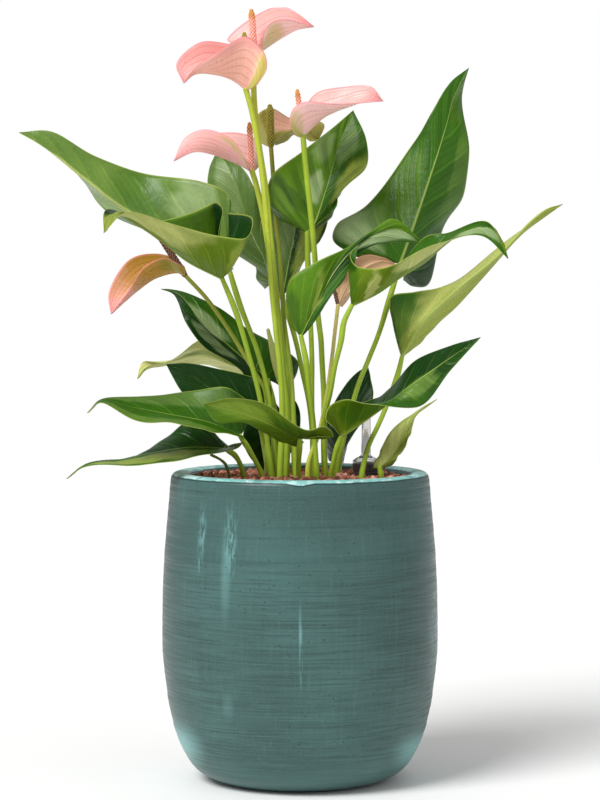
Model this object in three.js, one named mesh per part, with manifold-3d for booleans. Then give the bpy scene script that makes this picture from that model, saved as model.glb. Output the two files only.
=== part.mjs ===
// Flamingo flower in a glazed pot: leaves, blooms, clay granules and a water gauge.
// Lengths are millimetres and +Z is up. The origin is the centre of the pot's foot on the ground.
import * as THREE from "three";
import { mergeVertices } from "three/addons/utils/BufferGeometryUtils.js";
import Module from "manifold-3d";

const wasm = await Module();
wasm.setup();

// The plant is laid out as it is seen from the front, from an eye this far off and this high.
const VIEW_DISTANCE = 2750;
const VIEW_HEIGHT = 512;
// The clump spreads to front and back by this factor on the depths listed below.
const DEPTH_SPREAD = 1.5;

// Pot: outline points are [radius, height], and the wall runs from the foot to the lip and back inside.
const POT_OUTER = [
  [68, 0], [90.5, 4], [110.5, 19], [127.5, 57], [137, 118], [138.2, 157], [136.8, 213], [132, 274],
  [129.2, 304.5],
];
const POT_LIP = [[126, 308.6], [119.5, 309.6], [112, 307.2]];
const POT_INNER = [[110, 298], [120, 255], [125.5, 160], [119, 84], [102, 37], [60, 12]];
const POT_FLOOR = 12;
const POT_SIDES = 40;

// Clay granules, drawn as larger cells with a raised crown
const BED_TOP = 301;
const BED_GAP = 0.4;
const CELL_PITCH = 14;
const CELL_FIELD = 100;
const CELL_EDGE_HEIGHT = 301.7;
const CELL_CROWN_HEIGHT = 305.4;
const CELL_UNEVEN = 0.8;
const CELL_SEED = 11;

// Stems: the root stands this deep in a hole with this much room round it.
const ROOT_DEPTH = 25;
const STEM_ROOM = 0.35;
const STEM_SIDES = 6;
const STEM_STEPS = 9;
const PETIOLE_RADIUS = { root: 3.3, middle: 2.5, knee: 3, end: 2.3 };
const STALK_RADIUS = { root: 3.2, middle: 2.8, knee: 2.8, end: 2.8 };

// Blades: half the thickness, and where the rays that carry the surface leave the rib
const BLADE_HALF = 0.45;
const RAYS = [0, 0.12, 0.25, 0.38, 0.5, 0.62, 0.74, 0.86, 0.95, 1];
const RAY_STEPS = 2;
const RIB_SHARE = { 6: [0, 0, 0, 0.1, 0.38, 0.72, 1], 7: [0, 0, 0, 0.1, 0.35, 0.62, 0.85, 1] };
const WIDTH_SHARE = { 6: [0.6, 0.8, 0.95, 1, 0.8, 0.36, 0], 7: [0.6, 0.8, 0.95, 1, 0.85, 0.5, 0.2, 0] };
const LEAF_CAMBER = 0.04;
const SPATHE_CAMBER = -0.12;

// Blooms
const SPADIX_SIDES = 8;
const SPADIX_STEPS = 11;
const BLOOM_GAP = 0.3;

// Water gauge
const GAUGE_PLACE = [66.6, 25];
const GAUGE_RADIUS = 13.6;
const GAUGE_BORE = 11.6;
const GAUGE_FOOT = 30;
const GAUGE_TOP = 316;
const GAUGE_SIDES = 20;
const DOME_TOP = 372;
const TUBE_RADIUS = 4.6;
const FLOAT_RADIUS = 9;
const FLOAT_LENGTH = 50;
const ROD_RADIUS = 1.2;
const TIP_RADIUS = 2.6;
const TIP_TOP = 327.5;

// Points are [across, up, depth], seen from the front in the plane of the pot's axis.
// Margins run from the notch round the lobe to the tip.
// A lean of 1 turns that half of the blade away from the eye, and -1 turns it towards the eye.
const LEAVES = [
  {
    "name": "leaf_high_left", "look": "leaf", "root": [-24, 2], "width": 60, "lean": [1, 1],
    "stem": [[-31, 383, 1], [-43, 431, 7], [-60, 476, 14]],
    "rib": [[-73, 519, 20], [-124, 545, 24], [-173, 571, 31], [-217, 603, 37], [-256, 634, 43],
      [-280, 648, 47]],
    "right": [[-78, 549], [-69, 578], [-74, 589], [-98, 599], [-152, 606.5], [-205, 625], [-249, 649]],
    "left": [[-66, 512], [-78, 508], [-100, 520], [-130, 543], [-194, 570], [-215, 597], [-244, 636]],
  },
  {
    "name": "leaf_mid_left", "look": "pale", "root": [-28, -4], "width": 52, "lean": [1, -1],
    "camber": -0.09,
    "stem": [[-40, 382, -5], [-52, 429, -7], [-64, 469, -9]],
    "rib": [[-78, 503, -10], [-114, 521.5, -26], [-151, 552.5, -48], [-182, 569, -66], [-196, 548, -80]],
    "right": [[-81, 549], [-78, 573], [-84, 579], [-105, 569], [-150, 559], [-194, 571]],
    "left": [[-72, 568, 0], [-49, 564, -15], [-55, 542, -40], [-93, 548, -45], [-135, 559], [-175, 568]],
  },
  {
    "name": "leaf_behind_left", "look": "leaf", "root": [14, 30], "width": 50, "lean": [1, 1],
    "stem": [[10, 371, 35], [2, 411, 42], [-4, 439, 47], [-12, 467, 53]],
    "rib": [[-24, 500, 60], [-33, 518, 63], [-46, 543, 70], [-58, 576, 78], [-74, 617, 90], [-84, 627, 98]],
    "right": [[-22, 505], [-20, 511], [-28, 531], [-36, 556], [-43, 585], [-53, 607], [-68, 621]],
    "left": [[-35, 492], [-43, 502], [-44, 515], [-67, 528], [-85, 556], [-92, 593], [-91, 610]],
  },
  {
    "name": "leaf_centre_bright", "look": "leaf", "root": [14, 8], "width": 46, "lean": [1, 1],
    "stem": [[12, 381, 9], [12, 421, 10], [11, 449, 12], [8, 516, 14]],
    "rib": [[7, 548, 15], [13, 554, 17], [25, 588, 22], [31, 609, 26], [38, 634, 31], [53, 670, 36]],
    "right": [[17, 557], [31, 563], [37, 576], [40, 588], [66, 613], [66, 641]],
    "left": [[-6, 556], [-22, 562], [-33, 581], [-28, 605], [2, 629], [33, 653]],
  },
  {
    "name": "leaf_behind_centre", "look": "leaf", "root": [-5, 19], "width": 42, "lean": [0.6, 0.3],
    "stem": [[-9, 371, 26], [-13, 411, 34], [-16, 450, 42]],
    "rib": [[-17, 486, 46], [-12, 515, 49], [-6, 545, 54], [-3, 575, 61], [-1, 600, 69], [0, 621, 78]],
    "right": [[-10, 495], [-5, 502], [5, 523], [25, 550], [28, 578], [15, 605]],
    "left": [[-24, 494], [-30, 505], [-36, 525], [-40, 550], [-34, 580], [-16, 606]],
  },
  {
    "name": "leaf_high_right", "look": "leaf", "root": [36, 14], "width": 60, "lean": [1, 1],
    "stem": [[57, 392, 20], [68, 420, 25], [79, 448, 29], [89, 481, 33]],
    "rib": [[100, 517, 36], [112, 551, 41], [127, 596, 49], [137, 627, 55], [146, 657, 61],
      [153, 683, 67], [168, 712, 72]],
    "right": [[103, 501], [113, 495], [129, 497], [143, 553], [162, 586], [169, 630], [161, 685, 80]],
    "left": [[56, 524], [33, 541], [37, 557], [67, 576], [109, 630], [131, 668], [150, 698]],
  },
  {
    "name": "leaf_front_right", "look": "pale", "root": [17, -12], "width": 50,
    "lean": [0.7, 0.4], "camber": -0.05,
    "stem": [[13, 362, -15], [9, 392, -19], [6, 420, -22]],
    "rib": [[1, 445, -25], [18, 479, -23], [37, 512, -20], [60, 537, -16], [95, 552, -13], [124, 538, -10]],
    "right": [[-8, 455], [-13, 479], [-9, 502], [16, 519], [52, 536], [92, 562]],
    "left": [[5, 451], [13, 461], [25, 477], [41, 498], [60, 529], [91, 538]],
  },
  {
    "name": "leaf_right_rolled", "look": "pale", "root": [25, -6], "width": 45, "lean": [-1, 1],
    "camber": -0.07,
    "stem": [[24, 361, -11], [30, 387, -14], [35, 415, -17], [41, 440, -19], [44, 459, -20]],
    "rib": [[52, 476, -20], [78, 489, -26], [101, 505, -33], [124, 519, -40], [145, 537, -46],
      [162, 548, -50],
      [186, 552, -55], [200, 542, -58], [208, 522, -60]],
    "right": [[58, 536], [50, 528], [56, 515], [80, 513], [100, 519], [140, 538], [181, 545.5]],
    "left": [[62, 486], [75, 497], [90, 509], [105, 523], [125, 544], [145, 547.5], [187, 558.5]],
  },
  {
    "name": "leaf_right_tail", "look": "pale", "root": [61, -8], "width": 47, "lean": [1, 0.5],
    "stem": [[68, 333, -4], [78, 355, 4], [87, 376, 12], [98, 407, 14]],
    "rib": [[102, 424, 12], [117, 451, 14], [137, 473, 17], [165, 498, 20], [200, 527, 24], [231, 560, 27],
      [247, 572, 29], [262, 576.5, 30]],
    "right": [[96, 446], [91, 466], [90, 484], [117, 489.5], [155, 499], [218, 549.5]],
    "left": [[105, 427], [111, 430], [123, 442], [138, 456], [164, 483], [221, 545]],
  },
  {
    "name": "leaf_low_right", "look": "leaf", "root": [30, -14], "width": 36, "lean": [-1, 1],
    "stem": [[35, 326, -17]],
    "rib": [[41, 344, -20], [65, 361, -28], [87, 377, -36], [116, 399, -45], [140, 416, -52],
      [181, 444, -60]],
    "right": [[33, 354], [25, 363], [30, 375], [48, 381], [76, 377], [120, 375], [151, 411]],
    "left": [[42, 351], [45, 361], [52, 373], [72, 381], [87, 391], [117, 421], [152, 436]],
  },
  {
    "name": "leaf_small_right", "look": "pale", "root": [82, -7], "width": 22, "lean": [0.6, 0.6],
    "stem": [],
    "rib": [[80, 313, -8], [95, 326, -4], [104, 345, 0], [118, 369, 4], [137.5, 382, 8]],
    "right": [[84, 312], [92, 316], [98, 324], [105, 333], [111, 347], [117, 365]],
    "left": [[77, 311], [74, 313], [77, 323], [82, 334], [95, 354], [112, 367]],
  },
  {
    "name": "leaf_back_right", "look": "leaf", "root": [40, 34], "width": 38, "lean": [1, 1],
    "stem": [],
    "rib": [[40, 326, 50], [48, 356, 56], [58, 386, 66], [68, 415, 78]],
    "right": [[43, 317], [46, 330], [54, 350], [65, 364], [73, 383], [71, 403]],
    "left": [[35, 318], [29, 321], [25, 336], [26, 358], [37, 384], [55, 407]],
  },
  {
    "name": "leaf_front_low", "look": "pale", "root": [-2, -22], "width": 38, "lean": [0.4, -1],
    "camber": -0.05,
    "stem": [],
    "rib": [[0, 343, -36], [-20, 353, -54], [-45, 364, -76], [-72, 372, -97], [-97, 377, -114]],
    "right": [[4, 339], [-1, 334], [-9, 335], [-25, 343], [-54, 357], [-85, 360]],
    "left": [[18, 345], [33, 344], [27, 353], [3, 353], [-34, 376], [-68, 383]],
  },
  {
    "name": "leaf_left_low", "look": "leaf", "root": [-36, -14], "width": 42, "lean": [1, -1],
    "stem": [[-48, 326, -20]],
    "rib": [[-60, 345, -25], [-91, 358, -34], [-130, 366, -42], [-170, 374, -50], [-199, 380, -56],
      [-213, 368, -60]],
    "right": [[-53, 356], [-50, 373], [-57, 384], [-75, 394], [-115, 388], [-160, 385], [-198, 382]],
    "left": [[-56, 341], [-62, 344], [-78, 348], [-98, 352], [-130, 357], [-165, 361], [-199, 378]],
  },
  {
    "name": "leaf_lowest_left", "look": "leaf", "root": [-55, -6], "width": 38, "lean": [1, -1],
    "stem": [[-64, 324, -9]],
    "rib": [[-75, 332, -12], [-110, 333, -18], [-145, 328, -25], [-180, 321, -31], [-215, 316, -37],
      [-234, 302, -40]],
    "right": [[-72, 335], [-79, 341], [-89, 352], [-110, 359], [-135, 344], [-168, 323], [-214, 317]],
    "left": [[-65, 336], [-58, 338], [-68, 331], [-95, 325], [-130, 320], [-172, 315], [-216, 313.5]],
  },
  {
    "name": "leaf_left_mid", "look": "leaf", "root": [-12, 26], "width": 42, "lean": [1, -0.3],
    "stem": [[-23, 361, 32]],
    "rib": [[-32, 401, 38], [-52, 418, 41], [-80, 443, 47], [-105, 469, 53], [-122, 487, 59],
      [-139, 492, 65]],
    "right": [[-18, 393], [-9, 398], [-2, 416], [-9, 428], [-52, 452], [-90, 478], [-122, 491]],
    "left": [[-38, 389], [-48, 393], [-55, 403], [-62, 414], [-96, 434], [-114, 458], [-126, 486]],
  },
  {
    "name": "leaf_left_pale", "look": "pale", "root": [-22, 26], "width": 38, "lean": [1, -1],
    "stem": [[-28, 361, 40], [-34, 384, 50]],
    "rib": [[-42, 406, 80], [-71, 418, 82], [-98, 426, 84], [-130, 420, 85], [-152, 415, 86],
      [-163, 402, 86]],
    "right": [[-38, 397], [-44, 399], [-54, 405], [-72, 410], [-100, 416], [-133, 416], [-153, 411]],
    "left": [[-36, 412], [-33, 424], [-46, 438], [-72, 444], [-103, 439], [-132, 420], [-158, 418]],
  },
  {
    "name": "leaf_left_dark", "look": "leaf", "root": [-32, 20], "width": 36, "lean": [0.15, -0.8],
    "stem": [[-37, 340, 18]],
    "rib": [[-42, 369, 14], [-65, 379, 15], [-90, 393, 17], [-112, 408, 19], [-134, 417, 21]],
    "right": [[-34, 376], [-28, 386], [-32, 398], [-50, 405], [-85, 413], [-112, 418]],
    "left": [[-48, 363], [-60, 363], [-78, 367], [-100, 373], [-116, 386], [-128, 405]],
  },
  {
    "name": "leaf_hanging", "look": "leaf", "root": [-16, 38], "width": 30, "lean": [0, 0],
    "stem": [[-16, 340, 50]],
    "rib": [[-18, 369, 58], [-24, 349, 61], [-30, 329, 64], [-34, 311, 66]],
    "right": [[-24, 378], [-33, 382], [-43, 378], [-53, 361], [-57, 339], [-46, 318]],
    "left": [[-14, 378], [-6, 381], [0, 369], [0, 353], [-6, 333], [-20, 316]],
  },
];

// The spathe is the coloured blade of a bloom. The spadix runs from the stalk's end to the point given.
const BLOOMS = [
  {
    "name": "top_back", "look": "pink", "spike": "orange", "root": [-14, 2], "width": 44, "lean": [-1, 1],
    "stem": [[-12, 371, 2], [-17, 411, 4], [-23, 481, 6], [-29, 541, 8], [-34, 591, 9], [-43, 651, 10],
      [-46, 691, 10]],
    "rib": [[-45, 725, 10], [-20, 741, 11], [-3, 750, 12], [14, 753, 12]],
    "right": [[-38, 733], [-37, 741], [-35, 750], [-28, 757], [-15, 760], [0, 757]],
    "left": [[-60, 729], [-69, 737], [-72, 741], [-53, 758], [-20, 773], [-3, 766]],
    "spadix": [-48.5, 770, 12], "spadix_radius": 3.4,
  },
  {
    "name": "top_front", "look": "pink", "spike": "orange", "root": [-20, -12], "width": 44,
    "lean": [1, -1],
    "stem": [[-18, 381, -11], [-24, 451, -10], [-28, 491, -10], [-32, 541, -10], [-36, 591, -10],
      [-41, 631, -10], [-48, 669, -10]],
    "rib": [[-54, 691, -10], [-68, 701, -12], [-86, 706, -14], [-105, 706, -16], [-116, 697, -18]],
    "right": [[-50, 706], [-48, 719], [-55, 731], [-72, 736], [-100, 737], [-123, 716]],
    "left": [[-42, 696], [-33, 711], [-38, 731], [-52, 743], [-85, 726], [-105, 711]],
    "spadix": [-55.5, 747, 4], "spadix_radius": 3.5,
  },
  {
    "name": "right", "look": "pink", "spike": "orange", "root": [25, 9], "width": 42, "lean": [-1, 1],
    "stem": [[24, 342, 9], [24, 382, 8], [22, 421, 7], [21, 441, 6], [18, 466, 4], [15, 521, 2],
      [13, 545, 0],
      [9, 583, -2], [5, 621, -3]],
    "rib": [[3, 645, -5], [21, 661.5, -5], [37, 671, -5], [53, 677, -4], [70, 684, -4], [83, 679, -3]],
    "right": [[-5, 645], [-10, 657], [-7, 671], [3, 678], [30, 676], [55, 677]],
    "left": [[6, 653], [5, 666], [8, 678], [18, 688], [45, 693], [71, 693]],
    "spadix": [-3, 691, -2], "spadix_radius": 2.7,
  },
  {
    "name": "left", "look": "pink", "spike": "orange", "root": [-16, 14], "width": 44, "lean": [1, -1],
    "stem": [[-19, 401, 15], [-24, 461, 16], [-30, 521, 18], [-37, 566, 18], [-44, 597, 18]],
    "rib": [[-48, 610, 18], [-64, 618, 16], [-85, 626, 14], [-105, 629, 12], [-126, 619.5, 10]],
    "right": [[-42, 613], [-37, 623], [-40, 637], [-55, 646], [-88, 647], [-113, 638]],
    "left": [[-49, 616], [-54, 621], [-60, 631], [-70, 642], [-95, 651], [-115, 642]],
    "spadix": [-50.5, 658, 18], "spadix_radius": 3,
  },
  {
    "name": "centre", "look": "olive", "spike": "green", "root": [-4, -6], "width": 34, "lean": [1, 1],
    "stem": [[-7, 372, -6], [-9, 406, 0], [-12, 431, 6], [-16, 461, 12], [-19, 507, 22], [-21, 535, 28],
      [-24, 559, 32], [-27, 607, 37]],
    "rib": [[-29, 635, 38], [-15, 647, 40], [4, 652, 42], [19, 641, 44]],
    "right": [[-24, 635], [-19, 637], [-13, 640], [-6, 645], [5, 643], [12, 639]],
    "left": [[-38, 637], [-43, 651], [-41, 667], [-28, 672], [-8, 661], [24, 656]],
    "spadix": [-30, 675.5, 34], "spadix_radius": 3.9,
  },
  {
    "name": "low_left", "look": "gold", "spike": "brown", "root": [-33, 8], "width": 34, "lean": [1, -1],
    "stem": [[-35, 390, 8], [-43, 405, 10], [-55, 425, 12], [-71, 451, 13], [-93, 482, 14]],
    "rib": [[-115, 506, 14], [-123, 509, 10], [-145, 503, 4], [-162, 491, -2], [-176, 479, -6],
      [-189, 467, -10]],
    "right": [[-117, 516], [-122, 521], [-130, 525], [-145, 527], [-172, 520], [-191, 488]],
    "left": [[-114, 511], [-116, 515], [-122, 518], [-135, 523], [-157, 513], [-171, 491]],
    "spadix": [-142, 548, 22], "spadix_radius": 3.5,
  },
  {
    "name": "dried", "look": "tan", "spike": "brown", "root": [8, -4], "width": 24, "lean": [1, 1],
    "stem": [[9, 318, -4], [20, 352, -2], [26, 382, -1], [33, 431, 0], [34, 441, 0]],
    "rib": [[38, 476, 2], [50, 500, 6], [68, 515, 8], [84, 520, 10], [97, 516, 12]],
    "right": [[42, 474], [48, 481], [53, 491], [62, 501], [75, 509], [88, 513]],
    "left": [[35, 483], [36, 493], [42, 506], [52, 519], [68, 526], [85, 523]],
    "spadix": [34, 492, 4], "spadix_radius": 2,
  },
];

const YOUNG_LEAF = {
  root: [-4, 32], stem: [[-12, 371, 35], [-21, 405, 35]], end: [-32, 451, 34],
  radii: [3, 2.4, 2, 2, 4.6, 2],
};
const DRY_STALK = { root: [-70, 2], stem: [[-76, 318, 2]], end: [-89, 326, 2], radius: 1.4 };

const COLOURS = {
  pot: 0x557674, granules: 0x86554a, leaf: 0x3a6b1e, pale: 0x8fa052, pink: 0xf0b4a6, olive: 0xc09060,
  gold: 0xc99a58, tan: 0xc8a080, orange: 0xe8a080, green: 0x8a8226, brown: 0x5a4024, stalk: 0x86a04a,
  dry: 0x6a5038, gauge: 0x3b2d32, clear: 0xd0ccca, float: 0xb04038,
};

// Solids

function seen([across, up, depth]) {
  const away = depth * DEPTH_SPREAD;
  const scale = 1 + away / VIEW_DISTANCE;
  return new THREE.Vector3(across * scale, away, VIEW_HEIGHT + (up - VIEW_HEIGHT) * scale);
}

function solidFrom(points, triangles) {
  const places = new Map();
  const kept = [];
  const merged = points.map((point) => {
    const key = point.toArray().map((value) => Math.round(value * 1000)).join();
    if (!places.has(key)) {
      places.set(key, kept.length);
      kept.push(point);
    }
    return places.get(key);
  });
  const faces = triangles
    .map((triangle) => triangle.map((corner) => merged[corner]))
    .filter(([a, b, c]) => a !== b && b !== c && c !== a);
  const vertProperties = new Float32Array(kept.flatMap((point) => point.toArray()));
  const triVerts = new Uint32Array(faces.flat());
  return new wasm.Manifold(new wasm.Mesh({ numProp: 3, vertProperties, triVerts }));
}

function pointsOf(geometry) {
  const position = geometry.getAttribute("position");
  const point = (_, i) => new THREE.Vector3().fromBufferAttribute(position, i);
  return Array.from({ length: position.count }, point);
}

function solidFromGeometry(geometry) {
  geometry.deleteAttribute("normal");
  geometry.deleteAttribute("uv");
  const merged = mergeVertices(geometry);
  const index = Array.from(merged.getIndex().array);
  const triangles = [];
  for (let i = 0; i < index.length; i += 3) {
    triangles.push(index.slice(i, i + 3));
  }
  return solidFrom(pointsOf(merged), triangles);
}

function turned(outline, sides, [x, y] = [0, 0]) {
  const points = outline.map(([radius, height]) => new THREE.Vector2(radius, height));
  const geometry = new THREE.LatheGeometry(points, sides);
  geometry.rotateX(Math.PI / 2);
  geometry.translate(x, y, 0);
  return solidFromGeometry(geometry);
}

function box(width, depth, height, x, y, z) {
  const geometry = new THREE.BoxGeometry(width, depth, height);
  geometry.translate(x, y, z);
  return solidFromGeometry(geometry);
}

function largest(solid) {
  return solid.decompose().sort((a, b) => b.volume() - a.volume())[0];
}

function slab(points, triangles, upper, lower) {
  const count = points.length;
  const edges = new Map();
  const faces = [];
  for (const [a, b, c] of triangles) {
    faces.push([a, b, c], [c + count, b + count, a + count]);
    for (const [from, to] of [[a, b], [b, c], [c, a]]) {
      if (!edges.delete(`${to},${from}`)) {
        edges.set(`${from},${to}`, [from, to]);
      }
    }
  }
  for (const [from, to] of edges.values()) {
    faces.push([to, from, from + count], [to, from + count, to + count]);
  }
  return solidFrom([...points.map(upper), ...points.map(lower)], faces);
}

// Stems, stalks and spadices are tubes whose radius follows their length.

function tube(path, steps, sides, radiusAt, room = 0) {
  const frames = path.computeFrenetFrames(steps, false);
  const points = [];
  const triangles = [];
  for (let i = 0; i <= steps; i++) {
    const centre = path.getPointAt(i / steps);
    if (i === 0) {
      centre.addScaledVector(frames.tangents[i], -room);
    }
    if (i === steps) {
      centre.addScaledVector(frames.tangents[i], room);
    }
    for (let k = 0; k < sides; k++) {
      const angle = (2 * Math.PI * k) / sides;
      const radius = radiusAt(i / steps, i, k) + room;
      const point = centre.clone();
      point.addScaledVector(frames.normals[i], radius * Math.cos(angle));
      point.addScaledVector(frames.binormals[i], radius * Math.sin(angle));
      points.push(point);
      if (i < steps) {
        const a = i * sides + k;
        const b = i * sides + ((k + 1) % sides);
        triangles.push([a, b, b + sides], [a, b + sides, a + sides]);
      }
    }
  }
  for (let k = 1; k < sides - 1; k++) {
    triangles.push([0, k + 1, k], [steps * sides, steps * sides + k, steps * sides + k + 1]);
  }
  return solidFrom(points, triangles);
}

function smoothCurve(points) {
  return new THREE.CatmullRomCurve3(points, false, "centripetal");
}

function stemPath(root, stem, end) {
  const [x, depth] = root;
  const y = depth * DEPTH_SPREAD;
  const foot = new THREE.Vector3(x, y, BED_TOP - ROOT_DEPTH);
  const collar = new THREE.Vector3(x, y, BED_TOP);
  return smoothCurve([foot, collar, ...stem.map(seen), seen(end)]);
}

function taper({ root, middle, knee, end }) {
  const radii = [root, root, middle, middle, middle, middle, knee, end];
  const line = new THREE.SplineCurve(radii.map((radius) => new THREE.Vector2(radius, 0)));
  return (share) => line.getPoint(share).x;
}

// A blade hangs on its rib: rays leave the rib and end on the margin, bowed up a little.

function between(values, share) {
  const line = new THREE.SplineCurve(values.map((value) => new THREE.Vector2(value, 0)));
  return Math.min(Math.max(line.getPoint(share).x, 0), 1);
}

function marginCurve(leaf, side, lean) {
  const count = leaf[side].length;
  const ribFlat = smoothCurve(leaf.rib.map(([across, up]) => new THREE.Vector3(across, 0, up)));
  const ribDeep = smoothCurve(leaf.rib.map(([, , depth], i) => new THREE.Vector3(i, depth, 0)));
  const points = leaf[side].map(([across, up, depth], i) => {
    if (depth !== undefined) {
      return seen([across, up, depth]);
    }
    const share = RIB_SHARE[count][i];
    const offset = ribFlat.getPointAt(share).distanceTo(new THREE.Vector3(across, 0, up));
    const reach = leaf.width * WIDTH_SHARE[count][i];
    const turn = Math.sqrt(Math.max(0, reach * reach - offset * offset));
    return seen([across, up, ribDeep.getPoint(share).y + (lean * turn) / DEPTH_SPREAD]);
  });
  return smoothCurve([...points, seen(leaf.rib.at(-1))]);
}

function blade(leaf, camber) {
  const rib = smoothCurve(leaf.rib.map(seen));
  const points = [];
  const triangles = [];
  for (const [side, turn] of [["right", 1], ["left", -1]]) {
    const margin = marginCurve(leaf, side, leaf.lean[turn === 1 ? 0 : 1]);
    const ribShare = RIB_SHARE[leaf[side].length];
    const first = points.length;
    RAYS.forEach((share, row) => {
      const along = between(ribShare, share);
      const from = rib.getPointAt(along);
      const ray = margin.getPoint(share).sub(from);
      const up = ray.clone().cross(rib.getTangentAt(along)).multiplyScalar(turn).normalize();
      for (let step = 0; step <= RAY_STEPS; step++) {
        const out = step / RAY_STEPS;
        const rise = camber * ray.length() * 4 * out * (1 - out);
        points.push(from.clone().addScaledVector(ray, out).addScaledVector(up, rise));
        if (row > 0 && step > 0) {
          const d = first + row * (RAY_STEPS + 1) + step;
          const [a, b, c] = [d - RAY_STEPS - 2, d - RAY_STEPS - 1, d - 1];
          triangles.push(...(turn === 1 ? [[a, b, d], [a, d, c]] : [[a, d, b], [a, c, d]]));
        }
      }
    });
  }
  return thickened(points, triangles);
}

function thickened(points, triangles) {
  const geometry = new THREE.BufferGeometry().setFromPoints(points);
  geometry.setIndex(triangles.flat());
  const merged = mergeVertices(geometry, 0.01);
  const index = merged.getIndex().array;
  const faces = [];
  for (let i = 0; i < index.length; i += 3) {
    const [a, b, c] = index.slice(i, i + 3);
    if (a !== b && b !== c && c !== a) {
      faces.push([a, b, c]);
    }
  }
  const surface = new THREE.BufferGeometry().setFromPoints(pointsOf(merged)).setIndex(faces.flat());
  surface.computeVertexNormals();
  const normal = surface.getAttribute("normal");
  const shifted = (distance) => (point, i) =>
    point.clone().addScaledVector(new THREE.Vector3().fromBufferAttribute(normal, i), distance);
  return slab(pointsOf(surface), faces, shifted(BLADE_HALF), shifted(-BLADE_HALF));
}

// Parts

const flamingoFlower = new THREE.Group();

function addPart(name, solid, colour, roughness = 0.45) {
  const { vertProperties, triVerts } = solid.getMesh();
  const geometry = new THREE.BufferGeometry();
  geometry.setAttribute("position", new THREE.BufferAttribute(vertProperties, 3));
  geometry.setIndex(new THREE.BufferAttribute(triVerts, 1));
  geometry.computeVertexNormals();
  const material = new THREE.MeshStandardMaterial({ color: colour, roughness, metalness: 0 });
  const mesh = new THREE.Mesh(geometry, material);
  mesh.name = name;
  flamingoFlower.add(mesh);
}

function addPot() {
  const wall = new THREE.SplineCurve(POT_OUTER.map(([radius, height]) => new THREE.Vector2(radius, height)));
  const outer = wall.getPoints(2 * (POT_OUTER.length - 1)).map((point) => point.toArray());
  const outline = [[0, 0], ...outer, ...POT_LIP, ...POT_INNER, [0, POT_FLOOR]];
  addPart("pot", turned(outline, POT_SIDES), COLOURS.pot, 0.4);
}

function randomFrom(seed) {
  let state = seed;
  return () => {
    state = (state * 1664525 + 1013904223) % 4294967296;
    return state / 4294967296;
  };
}

function granuleCells() {
  const random = randomFrom(CELL_SEED);
  const places = new Map();
  const points = [];
  const triangles = [];
  const place = (x, y, height, drift) => {
    const key = `${Math.round(x * 10)},${Math.round(y * 10)}`;
    if (!places.has(key)) {
      places.set(key, points.length);
      const shift = () => (random() - 0.5) * drift;
      points.push(new THREE.Vector3(x + shift(), y + shift(), height + shift() * CELL_UNEVEN));
    }
    return places.get(key);
  };
  const rowPitch = (CELL_PITCH * Math.sqrt(3)) / 2;
  const reach = Math.ceil(CELL_FIELD / rowPitch);
  for (let row = -reach; row <= reach; row++) {
    for (let column = -reach; column <= reach; column++) {
      const x = (column + (row & 1) / 2) * CELL_PITCH;
      const y = row * rowPitch;
      if (Math.hypot(x, y) > CELL_FIELD - CELL_PITCH / 2) {
        continue;
      }
      const crown = place(x, y, CELL_CROWN_HEIGHT, 2);
      const ring = Array.from({ length: 6 }, (_, k) => {
        const angle = ((2 * k + 1) * Math.PI) / 6;
        const radius = CELL_PITCH / Math.sqrt(3);
        return place(x + radius * Math.cos(angle), y + radius * Math.sin(angle), CELL_EDGE_HEIGHT, 0.8);
      });
      ring.forEach((corner, k) => triangles.push([crown, corner, ring[(k + 1) % 6]]));
    }
  }
  const base = (point) => new THREE.Vector3(point.x, point.y, BED_TOP - ROOT_DEPTH / 2);
  return slab(points, triangles, (point) => point, base);
}

function addGranules(stemHoles) {
  const shrunk = ([radius, height]) => [radius - BED_GAP, height + BED_GAP * 0.75];
  const wall = [...POT_INNER].reverse().map(shrunk);
  const outline = [[0, POT_FLOOR + BED_GAP], ...wall, [POT_INNER[0][0] - BED_GAP, BED_TOP], [0, BED_TOP]];
  const room = GAUGE_RADIUS + BED_GAP;
  const well = [[0, GAUGE_FOOT - BED_GAP], [room, GAUGE_FOOT - BED_GAP], [room, DOME_TOP], [0, DOME_TOP]];
  let bed = turned(outline, POT_SIDES).add(granuleCells());
  bed = bed.subtract(turned(well, GAUGE_SIDES, GAUGE_PLACE));
  for (const hole of stemHoles) {
    bed = bed.subtract(hole);
  }
  addPart("granule_bed", largest(bed), COLOURS.granules, 0.9);
}

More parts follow.
